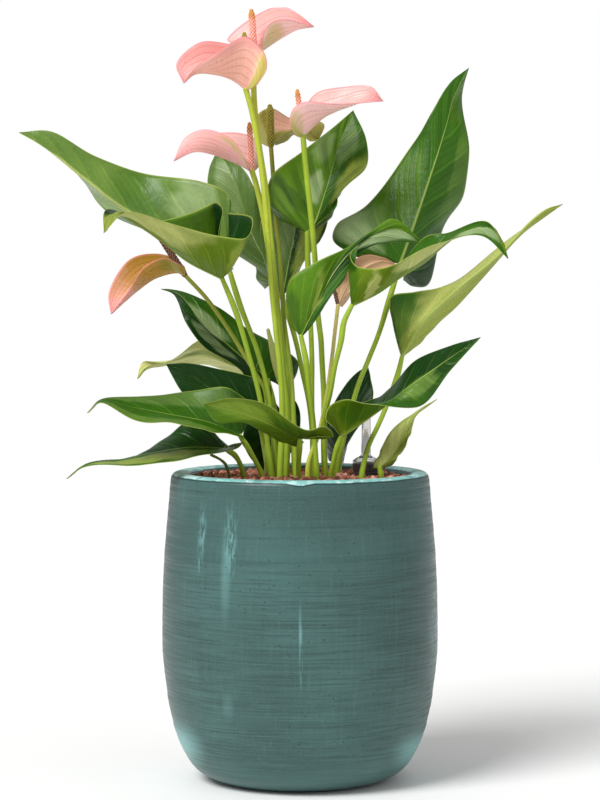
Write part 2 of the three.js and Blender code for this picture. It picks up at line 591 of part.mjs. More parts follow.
function addGauge() {
  const floor = GAUGE_FOOT + 3;
  const shell = turned([
    [0, GAUGE_FOOT], [GAUGE_RADIUS, GAUGE_FOOT], [GAUGE_RADIUS, GAUGE_TOP], [GAUGE_BORE, GAUGE_TOP],
    [GAUGE_BORE, floor], [0, floor],
  ], GAUGE_SIDES, GAUGE_PLACE);
  const slotLength = 2 * GAUGE_RADIUS + 2;
  const slotHeight = 14;
  const slotWidth = 3;
  const [x, y] = GAUGE_PLACE;
  const slots = box(slotLength, slotWidth, slotHeight, x, y, floor + slotHeight)
    .add(box(slotWidth, slotLength, slotHeight, x, y, floor + slotHeight));
  addPart("gauge_body", shell.subtract(slots), COLOURS.gauge, 0.3);

  const seat = GAUGE_TOP + BLOOM_GAP;
  addPart("gauge_dome", turned([
    [GAUGE_RADIUS - 0.2, seat], [GAUGE_RADIUS - 0.2, seat + 2.2], [TUBE_RADIUS + 0.4, seat + 8.2],
    [TUBE_RADIUS, DOME_TOP - 2], [TUBE_RADIUS - 1.6, DOME_TOP], [0, DOME_TOP], [0, DOME_TOP - 1.2],
    [TUBE_RADIUS - 1.1, DOME_TOP - 2.4], [TUBE_RADIUS - 0.9, seat + 8.6], [GAUGE_BORE, seat + 1.4],
    [GAUGE_BORE, seat], [GAUGE_RADIUS - 0.2, seat],
  ], GAUGE_SIDES, GAUGE_PLACE), COLOURS.clear, 0.1);

  const rest = floor + BLOOM_GAP;
  addPart("gauge_float", turned([
    [0, rest], [FLOAT_RADIUS, rest], [FLOAT_RADIUS, rest + FLOAT_LENGTH], [ROD_RADIUS, rest + FLOAT_LENGTH],
    [ROD_RADIUS, TIP_TOP - 6.5], [TIP_RADIUS, TIP_TOP - 5.5], [TIP_RADIUS, TIP_TOP - 1.5], [0, TIP_TOP],
  ], 12, GAUGE_PLACE), COLOURS.float, 0.4);
}

function addLeaf(leaf) {
  const path = stemPath(leaf.root, leaf.stem, leaf.rib[0]);
  const steps = STEM_STEPS - (leaf.stem.length < 2 ? 3 : 0);
  const petiole = tube(path, steps, STEM_SIDES, taper(PETIOLE_RADIUS));
  addPart(leaf.name, blade(leaf, leaf.camber ?? LEAF_CAMBER).add(petiole), COLOURS[leaf.look]);
  return tube(path, steps, STEM_SIDES, taper(PETIOLE_RADIUS), STEM_ROOM);
}

function addBloom(bloom) {
  const path = stemPath(bloom.root, bloom.stem, bloom.rib[0]);
  const steps = bloom.stem.length + 4;
  const stalkRadius = taper(STALK_RADIUS);
  const stalk = tube(path, steps, STEM_SIDES, stalkRadius);
  const stalkRoom = tube(path, steps, STEM_SIDES, stalkRadius, STEM_ROOM);

  const foot = seen(bloom.rib[0]);
  const tip = seen(bloom.spadix);
  const start = foot.clone().lerp(tip, BLOOM_GAP / foot.distanceTo(tip));
  const bend = foot.clone().lerp(tip, 0.5).add(new THREE.Vector3(0, 0.6, 0));
  const axis = smoothCurve([start, bend, tip]);
  const spadixRadius = (share, ring, k) => {
    const knob = (ring + k) % 2 ? 1.1 : 0.9;
    return bloom.spadix_radius * knob * Math.min(1, 0.8 + 2 * share, 0.5 + 3 * (1 - share));
  };
  const spadix = tube(axis, SPADIX_STEPS, SPADIX_SIDES, spadixRadius);
  const spadixRoom = tube(axis, SPADIX_STEPS, SPADIX_SIDES, spadixRadius, STEM_ROOM);

  const spathe = largest(blade(bloom, SPATHE_CAMBER).subtract(stalkRoom).subtract(spadixRoom));
  addPart(`spathe_${bloom.name}`, spathe, COLOURS[bloom.look]);
  addPart(`spadix_${bloom.name}`, largest(spadix.subtract(stalkRoom)), COLOURS[bloom.spike], 0.6);
  addPart(`stalk_${bloom.name}`, stalk, COLOURS.stalk);
  return stalkRoom;
}

function addYoungLeaf() {
  const path = stemPath(YOUNG_LEAF.root, YOUNG_LEAF.stem, YOUNG_LEAF.end);
  const radii = YOUNG_LEAF.radii.map((radius) => new THREE.Vector2(radius, 0));
  const line = new THREE.SplineCurve(radii);
  const radiusAt = (share) => line.getPoint(share).x;
  addPart("young_leaf", tube(path, STEM_STEPS, STEM_SIDES, radiusAt), COLOURS.pale);
  return tube(path, STEM_STEPS, STEM_SIDES, radiusAt, STEM_ROOM);
}

function addDryStalk() {
  const path = stemPath(DRY_STALK.root, DRY_STALK.stem, DRY_STALK.end);
  const radiusAt = () => DRY_STALK.radius;
  addPart("dry_stalk", tube(path, 6, 5, radiusAt), COLOURS.dry, 0.8);
  return tube(path, 6, 5, radiusAt, STEM_ROOM);
}

addPot();
addGauge();
const holes = [...LEAVES.map(addLeaf), ...BLOOMS.map(addBloom), addYoungLeaf(), addDryStalk()];
addGranules(holes);

export default flamingoFlower;
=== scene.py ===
"""Potted flamingo flower: leaves, blooms, clay granules, a glazed pot and a water gauge."""

import math

import bpy
import numpy as np
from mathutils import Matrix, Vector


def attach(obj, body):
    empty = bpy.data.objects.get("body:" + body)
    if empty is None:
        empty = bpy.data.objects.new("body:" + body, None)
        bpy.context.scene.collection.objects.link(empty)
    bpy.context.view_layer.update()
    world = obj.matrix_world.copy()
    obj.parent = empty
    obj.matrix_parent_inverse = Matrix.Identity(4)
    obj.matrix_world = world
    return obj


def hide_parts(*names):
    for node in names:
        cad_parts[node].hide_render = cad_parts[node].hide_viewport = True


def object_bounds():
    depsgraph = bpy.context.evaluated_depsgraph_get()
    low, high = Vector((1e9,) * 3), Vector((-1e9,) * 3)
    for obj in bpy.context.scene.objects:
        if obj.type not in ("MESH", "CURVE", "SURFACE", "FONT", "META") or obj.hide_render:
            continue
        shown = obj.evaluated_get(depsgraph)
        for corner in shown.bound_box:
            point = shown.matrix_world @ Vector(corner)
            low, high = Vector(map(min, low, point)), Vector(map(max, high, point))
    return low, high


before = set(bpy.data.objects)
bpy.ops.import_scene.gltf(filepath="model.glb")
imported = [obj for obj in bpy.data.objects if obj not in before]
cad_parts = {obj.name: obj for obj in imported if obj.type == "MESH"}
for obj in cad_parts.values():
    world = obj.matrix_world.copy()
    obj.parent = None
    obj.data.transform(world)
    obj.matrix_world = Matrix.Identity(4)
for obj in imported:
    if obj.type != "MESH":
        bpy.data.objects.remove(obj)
SOLID_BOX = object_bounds()

bl_info = {
    "name": "Potted flamingo flower",
    "version": (1, 0, 0),
    "blender": (4, 5, 0),
    "location": "View3D > Sidebar > Flower",
    "description": "Builds a flamingo flower in a glazed pot with clay granules and a water gauge",
    "category": "Object",
}

MM = 0.001
PLANTER = "planter"
FLOAT_BODY = "gauge_float"

# The plant is laid out as seen from the front, from an eye this far off and this high, in millimetres.
# The eye looks down by VIEW_DROP over that distance, and listed depths are spread by DEPTH_SPREAD.
VIEW_DISTANCE = 2750
VIEW_HEIGHT = 512
VIEW_DROP = 131
DEPTH_SPREAD = 1.5

# Pot: outline points are [radius, height].
POT_OUTER = [
    [68, 0], [90.5, 4], [110.5, 19], [127.5, 57], [137, 118], [138.2, 157], [136.8, 213], [132, 274],
    [129.2, 304.5],
]
POT_LIP = [[126, 308.6], [119.5, 309.6], [112, 307.2]]
POT_INNER = [[110, 298], [120, 255], [125.5, 160], [119, 84], [102, 37], [60, 12]]
POT_FLOOR = 12
POT_SIDES = 200
WALL_STEPS = 320
LIP_STEPS = 89
RIDGE_BLEND = [0.1, 0.25, 0.3, 0.25, 0.1]

# Painted highlight at the front, where the pale lip and its dark line reach lower, in metres, and the
# colour of the palest glaze on the lip
LIP_DIP = (0, -0.13, 0.305)
LIP_DIP_SIZE = (0.016, 0.02, 0.01)
LIP_WHITE = (0.75, 0.92, 0.91)

# Granules: painted shade darkens the gaps between them and fades out up to GAP_RISE above BED_TOP.
# Sizes and squashes are lowest and highest shares of a middling granule.
BED_TOP = 301
BED_RADIUS = 109
ROOT_DEPTH = 25
GAP_RISE = 3.4
GRAIN_SIZES = (0.82, 1.18)
GRAIN_SQUASH = (0.82, 1.15)
LOOSE_GRAINS = 300
LOOSE_SIZES = (0.75, 1.05)
STEM_CLEAR = 3

# Stems: radii from foot to top, and how finely the tubes are made
PETIOLE_RADIUS = [3.3, 3.3, 2.5, 2.5, 2.5, 2.5, 3, 2.3]
STALK_RADIUS = [3.2, 3.2, 2.8, 2.8, 2.8, 2.8, 2.8, 2.8]
YOUNG_RADIUS = [3, 2.4, 2, 2, 4.6, 2]
DRY_RADIUS = 1.4
TUBE_SIDES = 18
PETIOLE_RINGS = 61
STALK_RINGS = 101
YOUNG_RINGS = 91
YOUNG_SIDES = 36
DRY_RINGS = 31
DRY_SIDES = 12
LENGTH_STEPS = 200
DOME_BENDS = [0.0, 0.38, 0.71, 0.92]

# Blades: rays carry the surface out from the rib, from the notch round the lobe to the tip. A rib is
# given by its height and the half width of its base.
BLADE_ROWS = 84
BLADE_STEPS = 18
STEP_BIAS = 1.35
SMOOTH_ROWS = 4
BLADE_HALF = 0.45
EDGE_HALF = 0.22
RIB_SHARE = {6: [0, 0, 0, 0.1, 0.38, 0.72, 1], 7: [0, 0, 0, 0.1, 0.35, 0.62, 0.85, 1]}
WIDTH_SHARE = {6: [0.6, 0.8, 0.95, 1, 0.8, 0.36, 0], 7: [0.6, 0.8, 0.95, 1, 0.85, 0.5, 0.2, 0]}
LEAF_CAMBER = 0.04
SPATHE_CAMBER = -0.12
LEAF_RIB = (1.5, 1.8)
SPATHE_RIB = (1.0, 1.5)
LEAF_PHASE = 0.37
SPATHE_PHASE = 0.41
LEAF_VEINS = 11
VEIN_BEND = 0.1
VEIN_WANDER = 0.03
VEIN_SHIFT = 0.06
SPATHE_VEINS = 6
BLOOM_GAP = 0.3
FLORETS_PER_MM = 1.8
ROUND_END = 1.4
SPADIX_SIDES = 63
SPADIX_RINGS = 171

# Water gauge. Ticks are height and half length, and their outline is [away, up].
GAUGE_PLACE = [66.6, 25]
GAUGE_RADIUS = 13.6
GAUGE_BORE = 11.6
GAUGE_FOOT = 30
GAUGE_TOP = 316
DOME_TOP = 372
TUBE_RADIUS = 4.6
FLOAT_RADIUS = 9
FLOAT_LENGTH = 50
ROD_RADIUS = 1.2
TIP_RADIUS = 2.6
TIP_TOP = 327.5
GAUGE_GAP = 0.3
TICKS = [[344, 2.1], [347, 1.2], [350, 2.1]]
TICK_OUTLINE = [[0, -0.35], [0.12, -0.3], [0.12, 0.3], [0, 0.35], [-0.25, 0], [0, -0.35]]
CREASE_ANGLE = math.radians(35)

# Stage: lengths in metres, the camera's lens and sensor in millimetres. Lamps are name, place, spread in
# degrees and setting.
FLOOR_RADIUS = 4.5
FLOOR_SIDES = 96
LAMPS = [("key_lamp", (-1.0, -1.1, 1.9), 28, "key"), ("fill_lamp", (1.2, -1.5, 0.9), 60, "fill")]
LAMP_TARGET = (0, 0, 0.4)
CAMERA_LENS = 123.75
CAMERA_WIDTH = 36
CAMERA_REACH = 50

# Points are [across, up, depth], seen from the front in the plane of the pot's axis.
LEAVES = [
  {
    "name": "leaf_high_left", "look": "leaf", "root": [-24, 2], "width": 60, "lean": [1, 1],
    "stem": [[-31, 383, 1], [-43, 431, 7], [-60, 476, 14]],
    "rib": [[-73, 519, 20], [-124, 545, 24], [-173, 571, 31], [-217, 603, 37], [-256, 634, 43],
      [-280, 648, 47]],
    "right": [[-78, 549], [-69, 578], [-74, 589], [-98, 599], [-152, 606.5], [-205, 625], [-249, 649]],
    "left": [[-66, 512], [-78, 508], [-100, 520], [-130, 543], [-194, 570], [-215, 597], [-244, 636]],
  },
  {
    "name": "leaf_mid_left", "look": "pale", "root": [-28, -4], "width": 52, "lean": [1, -1], "camber": -0.09,
    "stem": [[-40, 382, -5], [-52, 429, -7], [-64, 469, -9]],
    "rib": [[-78, 503, -10], [-114, 521.5, -26], [-151, 552.5, -48], [-182, 569, -66], [-196, 548, -80]],
    "right": [[-81, 549], [-78, 573], [-84, 579], [-105, 569], [-150, 559], [-194, 571]],
    "left": [[-72, 568, 0], [-49, 564, -15], [-55, 542, -40], [-93, 548, -45], [-135, 559], [-175, 568]],
  },
  {
    "name": "leaf_behind_left", "look": "leaf", "root": [14, 30], "width": 50, "lean": [1, 1],
    "stem": [[10, 371, 35], [2, 411, 42], [-4, 439, 47], [-12, 467, 53]],
    "rib": [[-24, 500, 60], [-33, 518, 63], [-46, 543, 70], [-58, 576, 78], [-74, 617, 90], [-84, 627, 98]],
    "right": [[-22, 505], [-20, 511], [-28, 531], [-36, 556], [-43, 585], [-53, 607], [-68, 621]],
    "left": [[-35, 492], [-43, 502], [-44, 515], [-67, 528], [-85, 556], [-92, 593], [-91, 610]],
  },
  {
    "name": "leaf_centre_bright", "look": "leaf", "root": [14, 8], "width": 46, "lean": [1, 1],
    "stem": [[12, 381, 9], [12, 421, 10], [11, 449, 12], [8, 516, 14]],
    "rib": [[7, 548, 15], [13, 554, 17], [25, 588, 22], [31, 609, 26], [38, 634, 31], [53, 670, 36]],
    "right": [[17, 557], [31, 563], [37, 576], [40, 588], [66, 613], [66, 641]],
    "left": [[-6, 556], [-22, 562], [-33, 581], [-28, 605], [2, 629], [33, 653]],
  },
  {
    "name": "leaf_behind_centre", "look": "leaf", "root": [-5, 19], "width": 42, "lean": [0.6, 0.3],
    "stem": [[-9, 371, 26], [-13, 411, 34], [-16, 450, 42]],
    "rib": [[-17, 486, 46], [-12, 515, 49], [-6, 545, 54], [-3, 575, 61], [-1, 600, 69], [0, 621, 78]],
    "right": [[-10, 495], [-5, 502], [5, 523], [25, 550], [28, 578], [15, 605]],
    "left": [[-24, 494], [-30, 505], [-36, 525], [-40, 550], [-34, 580], [-16, 606]],
  },
  {
    "name": "leaf_high_right", "look": "leaf", "root": [36, 14], "width": 60, "lean": [1, 1],
    "stem": [[57, 392, 20], [68, 420, 25], [79, 448, 29], [89, 481, 33]],
    "rib": [[100, 517, 36], [112, 551, 41], [127, 596, 49], [137, 627, 55], [146, 657, 61], [153, 683, 67],
      [168, 712, 72]],
    "right": [[103, 501], [113, 495], [129, 497], [143, 553], [162, 586], [169, 630], [161, 685, 80]],
    "left": [[56, 524], [33, 541], [37, 557], [67, 576], [109, 630], [131, 668], [150, 698]],
  },
  {
    "name": "leaf_front_right", "look": "pale", "root": [17, -12], "width": 50,
    "lean": [0.7, 0.4], "camber": -0.05,
    "stem": [[13, 362, -15], [9, 392, -19], [6, 420, -22]],
    "rib": [[1, 445, -25], [18, 479, -23], [37, 512, -20], [60, 537, -16], [95, 552, -13], [124, 538, -10]],
    "right": [[-8, 455], [-13, 479], [-9, 502], [16, 519], [52, 536], [92, 562]],
    "left": [[5, 451], [13, 461], [25, 477], [41, 498], [60, 529], [91, 538]],
  },
  {
    "name": "leaf_right_rolled", "look": "pale", "root": [25, -6], "width": 45,
    "lean": [-1, 1], "camber": -0.07,
    "stem": [[24, 361, -11], [30, 387, -14], [35, 415, -17], [41, 440, -19], [44, 459, -20]],
    "rib": [[52, 476, -20], [78, 489, -26], [101, 505, -33], [124, 519, -40], [145, 537, -46],
      [162, 548, -50], [186, 552, -55], [200, 542, -58], [208, 522, -60]],
    "right": [[58, 536], [50, 528], [56, 515], [80, 513], [100, 519], [140, 538], [181, 545.5]],
    "left": [[62, 486], [75, 497], [90, 509], [105, 523], [125, 544], [145, 547.5], [187, 558.5]],
  },
  {
    "name": "leaf_right_tail", "look": "pale", "root": [61, -8], "width": 47, "lean": [1, 0.5],
    "stem": [[68, 333, -4], [78, 355, 4], [87, 376, 12], [98, 407, 14]],
    "rib": [[102, 424, 12], [117, 451, 14], [137, 473, 17], [165, 498, 20], [200, 527, 24], [231, 560, 27],
      [247, 572, 29], [262, 576.5, 30]],
    "right": [[96, 446], [91, 466], [90, 484], [117, 489.5], [155, 499], [218, 549.5]],
    "left": [[105, 427], [111, 430], [123, 442], [138, 456], [164, 483], [221, 545]],
  },
  {
    "name": "leaf_low_right", "look": "leaf", "root": [30, -14], "width": 36, "lean": [-1, 1],
    "stem": [[35, 326, -17]],
    "rib": [[41, 344, -20], [65, 361, -28], [87, 377, -36], [116, 399, -45], [140, 416, -52],
      [181, 444, -60]],
    "right": [[33, 354], [25, 363], [30, 375], [48, 381], [76, 377], [120, 375], [151, 411]],
    "left": [[42, 351], [45, 361], [52, 373], [72, 381], [87, 391], [117, 421], [152, 436]],
  },
  {
    "name": "leaf_small_right", "look": "pale", "root": [82, -7], "width": 22, "lean": [0.6, 0.6],
    "stem": [],
    "rib": [[80, 313, -8], [95, 326, -4], [104, 345, 0], [118, 369, 4], [137.5, 382, 8]],
    "right": [[84, 312], [92, 316], [98, 324], [105, 333], [111, 347], [117, 365]],
    "left": [[77, 311], [74, 313], [77, 323], [82, 334], [95, 354], [112, 367]],
  },
  {
    "name": "leaf_back_right", "look": "leaf", "root": [40, 34], "width": 38, "lean": [1, 1],
    "stem": [],
    "rib": [[40, 326, 50], [48, 356, 56], [58, 386, 66], [68, 415, 78]],
    "right": [[43, 317], [46, 330], [54, 350], [65, 364], [73, 383], [71, 403]],
    "left": [[35, 318], [29, 321], [25, 336], [26, 358], [37, 384], [55, 407]],
  },
  {
    "name": "leaf_front_low", "look": "pale", "root": [-2, -22], "width": 38,
    "lean": [0.4, -1], "camber": -0.05,
    "stem": [],
    "rib": [[0, 343, -36], [-20, 353, -54], [-45, 364, -76], [-72, 372, -97], [-97, 377, -114]],
    "right": [[4, 339], [-1, 334], [-9, 335], [-25, 343], [-54, 357], [-85, 360]],
    "left": [[18, 345], [33, 344], [27, 353], [3, 353], [-34, 376], [-68, 383]],
  },
  {
    "name": "leaf_left_low", "look": "leaf", "root": [-36, -14], "width": 42, "lean": [1, -1],
    "stem": [[-48, 326, -20]],
    "rib": [[-60, 345, -25], [-91, 358, -34], [-130, 366, -42], [-170, 374, -50], [-199, 380, -56],
      [-213, 368, -60]],
    "right": [[-53, 356], [-50, 373], [-57, 384], [-75, 394], [-115, 388], [-160, 385], [-198, 382]],
    "left": [[-56, 341], [-62, 344], [-78, 348], [-98, 352], [-130, 357], [-165, 361], [-199, 378]],
  },
  {
    "name": "leaf_lowest_left", "look": "leaf", "root": [-55, -6], "width": 38, "lean": [1, -1],
    "stem": [[-64, 324, -9]],
    "rib": [[-75, 332, -12], [-110, 333, -18], [-145, 328, -25], [-180, 321, -31], [-215, 316, -37],
      [-234, 302, -40]],
    "right": [[-72, 335], [-79, 341], [-89, 352], [-110, 359], [-135, 344], [-168, 323], [-214, 317]],
    "left": [[-65, 336], [-58, 338], [-68, 331], [-95, 325], [-130, 320], [-172, 315], [-216, 313.5]],
  },
  {
    "name": "leaf_left_mid", "look": "leaf", "root": [-12, 26], "width": 42, "lean": [1, -0.3],
    "stem": [[-23, 361, 32]],
    "rib": [[-32, 401, 38], [-52, 418, 41], [-80, 443, 47], [-105, 469, 53], [-122, 487, 59],
      [-139, 492, 65]],
    "right": [[-18, 393], [-9, 398], [-2, 416], [-9, 428], [-52, 452], [-90, 478], [-122, 491]],
    "left": [[-38, 389], [-48, 393], [-55, 403], [-62, 414], [-96, 434], [-114, 458], [-126, 486]],
  },
  {
    "name": "leaf_left_pale", "look": "pale", "root": [-22, 26], "width": 38, "lean": [1, -1],
    "stem": [[-28, 361, 40], [-34, 384, 50]],
    "rib": [[-42, 406, 80], [-71, 418, 82], [-98, 426, 84], [-130, 420, 85], [-152, 415, 86],
      [-163, 402, 86]],
    "right": [[-38, 397], [-44, 399], [-54, 405], [-72, 410], [-100, 416], [-133, 416], [-153, 411]],
    "left": [[-36, 412], [-33, 424], [-46, 438], [-72, 444], [-103, 439], [-132, 420], [-158, 418]],
  },
  {
    "name": "leaf_left_dark", "look": "leaf", "root": [-32, 20], "width": 36, "lean": [0.15, -0.8],
    "stem": [[-37, 340, 18]],
    "rib": [[-42, 369, 14], [-65, 379, 15], [-90, 393, 17], [-112, 408, 19], [-134, 417, 21]],
    "right": [[-34, 376], [-28, 386], [-32, 398], [-50, 405], [-85, 413], [-112, 418]],
    "left": [[-48, 363], [-60, 363], [-78, 367], [-100, 373], [-116, 386], [-128, 405]],
  },
  {
    "name": "leaf_hanging", "look": "leaf", "root": [-16, 38], "width": 30, "lean": [0, 0],
    "stem": [[-16, 340, 50]],
    "rib": [[-18, 369, 58], [-24, 349, 61], [-30, 329, 64], [-34, 311, 66]],
    "right": [[-24, 378], [-33, 382], [-43, 378], [-53, 361], [-57, 339], [-46, 318]],
    "left": [[-14, 378], [-6, 381], [0, 369], [0, 353], [-6, 333], [-20, 316]],
  },
]

BLOOMS = [
  {
    "name": "top_back", "root": [-14, 2], "width": 44, "lean": [-1, 1],
    "stem": [[-12, 371, 2], [-17, 411, 4], [-23, 481, 6], [-29, 541, 8], [-34, 591, 9], [-43, 651, 10],
      [-46, 691, 10]],
    "rib": [[-45, 725, 10], [-20, 741, 11], [-3, 750, 12], [14, 753, 12]],
    "right": [[-38, 733], [-37, 741], [-35, 750], [-28, 757], [-15, 760], [0, 757]],
    "left": [[-60, 729], [-69, 737], [-72, 741], [-53, 758], [-20, 773], [-3, 766]],
    "spadix": [-48.5, 770, 12], "spadix_radius": 3.4,
  },
  {
    "name": "top_front", "root": [-20, -12], "width": 44, "lean": [1, -1],
    "stem": [[-18, 381, -11], [-24, 451, -10], [-28, 491, -10], [-32, 541, -10], [-36, 591, -10],
      [-41, 631, -10], [-48, 669, -10]],
    "rib": [[-54, 691, -10], [-68, 701, -12], [-86, 706, -14], [-105, 706, -16], [-116, 697, -18]],
    "right": [[-50, 706], [-48, 719], [-55, 731], [-72, 736], [-100, 737], [-123, 716]],
    "left": [[-42, 696], [-33, 711], [-38, 731], [-52, 743], [-85, 726], [-105, 711]],
    "spadix": [-55.5, 747, 4], "spadix_radius": 3.5,
  },
  {
    "name": "right", "root": [25, 9], "width": 42, "lean": [-1, 1],
    "stem": [[24, 342, 9], [24, 382, 8], [22, 421, 7], [21, 441, 6], [18, 466, 4], [15, 521, 2],
      [13, 545, 0], [9, 583, -2], [5, 621, -3]],
    "rib": [[3, 645, -5], [21, 661.5, -5], [37, 671, -5], [53, 677, -4], [70, 684, -4], [83, 679, -3]],
    "right": [[-5, 645], [-10, 657], [-7, 671], [3, 678], [30, 676], [55, 677]],
    "left": [[6, 653], [5, 666], [8, 678], [18, 688], [45, 693], [71, 693]],
    "spadix": [-3, 691, -2], "spadix_radius": 2.7,
  },
  {
    "name": "left", "root": [-16, 14], "width": 44, "lean": [1, -1],
    "stem": [[-19, 401, 15], [-24, 461, 16], [-30, 521, 18], [-37, 566, 18], [-44, 597, 18]],
    "rib": [[-48, 610, 18], [-64, 618, 16], [-85, 626, 14], [-105, 629, 12], [-126, 619.5, 10]],
    "right": [[-42, 613], [-37, 623], [-40, 637], [-55, 646], [-88, 647], [-113, 638]],
    "left": [[-49, 616], [-54, 621], [-60, 631], [-70, 642], [-95, 651], [-115, 642]],
    "spadix": [-50.5, 658, 18], "spadix_radius": 3,
  },
  {
    "name": "centre", "root": [-4, -6], "width": 34, "lean": [1, 1],
    "stem": [[-7, 372, -6], [-9, 406, 0], [-12, 431, 6], [-16, 461, 12], [-19, 507, 22], [-21, 535, 28],
      [-24, 559, 32], [-27, 607, 37]],
    "rib": [[-29, 635, 38], [-15, 647, 40], [4, 652, 42], [19, 641, 44]],
    "right": [[-24, 635], [-19, 637], [-13, 640], [-6, 645], [5, 643], [12, 639]],
    "left": [[-38, 637], [-43, 651], [-41, 667], [-28, 672], [-8, 661], [24, 656]],
    "spadix": [-30, 675.5, 34], "spadix_radius": 3.9,
  },
  {
    "name": "low_left", "root": [-33, 8], "width": 34, "lean": [1, -1],
    "stem": [[-35, 390, 8], [-43, 405, 10], [-55, 425, 12], [-71, 451, 13], [-93, 482, 14]],
    "rib": [[-115, 506, 14], [-123, 509, 10], [-145, 503, 4], [-162, 491, -2], [-176, 479, -6],
      [-189, 467, -10]],
    "right": [[-117, 516], [-122, 521], [-130, 525], [-145, 527], [-172, 520], [-191, 488]],
    "left": [[-114, 511], [-116, 515], [-122, 518], [-135, 523], [-157, 513], [-171, 491]],
    "spadix": [-142, 548, 22], "spadix_radius": 3.5,
  },
  {
    "name": "dried", "root": [8, -4], "width": 24, "lean": [1, 1],
    "stem": [[9, 318, -4], [20, 352, -2], [26, 382, -1], [33, 431, 0], [34, 441, 0]],
    "rib": [[38, 476, 2], [50, 500, 6], [68, 515, 8], [84, 520, 10], [97, 516, 12]],
    "right": [[42, 474], [48, 481], [53, 491], [62, 501], [75, 509], [88, 513]],
    "left": [[35, 483], [36, 493], [42, 506], [52, 519], [68, 526], [85, 523]],
    "spadix": [34, 492, 4], "spadix_radius": 2,
  },
]

YOUNG_LEAF = {"root": [-4, 32], "stem": [[-12, 371, 35], [-21, 405, 35]], "end": [-32, 451, 34]}
DRY_STALK = {"root": [-70, 2], "stem": [[-76, 318, 2]], "end": [-89, 326, 2]}

# Greens of each leaf's upper face, right and left of the rib; the dark, bright and light greens are
# painted shade and painted light
LEAF_GREENS = {
    "leaf_high_left": ("light", "mid"),
    "leaf_mid_left": ("dark", "dark"),
    "leaf_behind_left": ("grey", "grey"),
    "leaf_centre_bright": ("mid", "bright"),
    "leaf_behind_centre": ("dark", "grey"),
    "leaf_high_right": ("mid", "mid"),
    "leaf_front_right": ("mid", "bright"),
    "leaf_right_rolled": ("mid", "mid"),
    "leaf_right_tail": ("pale", "pale"),
    "leaf_low_right": ("mid", "dark"),
    "leaf_small_right": ("pale", "pale"),
    "leaf_back_right": ("dark", "dark"),
    "leaf_front_low": ("bright", "bright"),
    "leaf_left_low": ("mid", "mid"),
    "leaf_lowest_left": ("dark", "mid"),
    "leaf_left_mid": ("mid", "dark"),
    "leaf_left_pale": ("mid", "cream"),
    "leaf_left_dark": ("dark", "dark"),
    "leaf_hanging": ("dark", "dark"),
}

# Greens of the under face, right and left of the rib, where they aren't the usual; the pale and
# bright greens are painted light
UNDER_GREENS = {
    "leaf_behind_centre": ("pale", "pale"),
    "leaf_front_right": ("bright", "mid"),
    "leaf_right_tail": ("pale", "pale"),
    "leaf_small_right": ("pale", "cream"),
    "leaf_front_low": ("bright", "under"),
    "leaf_left_pale": ("cream", "cream"),
}

# Roughness of the two faces of a leaf, and how much the swells between its veins catch the light
LEAF_GLOSS = 0.26
UNDER_GLOSS = 0.42
USUAL_SHINE = 0.14
UNDER_SHINE = 0.08
LEAF_SHINE = {
    "leaf_centre_bright": 0.45, "leaf_high_right": 0.25, "leaf_low_right": 0.25, "leaf_left_mid": 0.3,
}
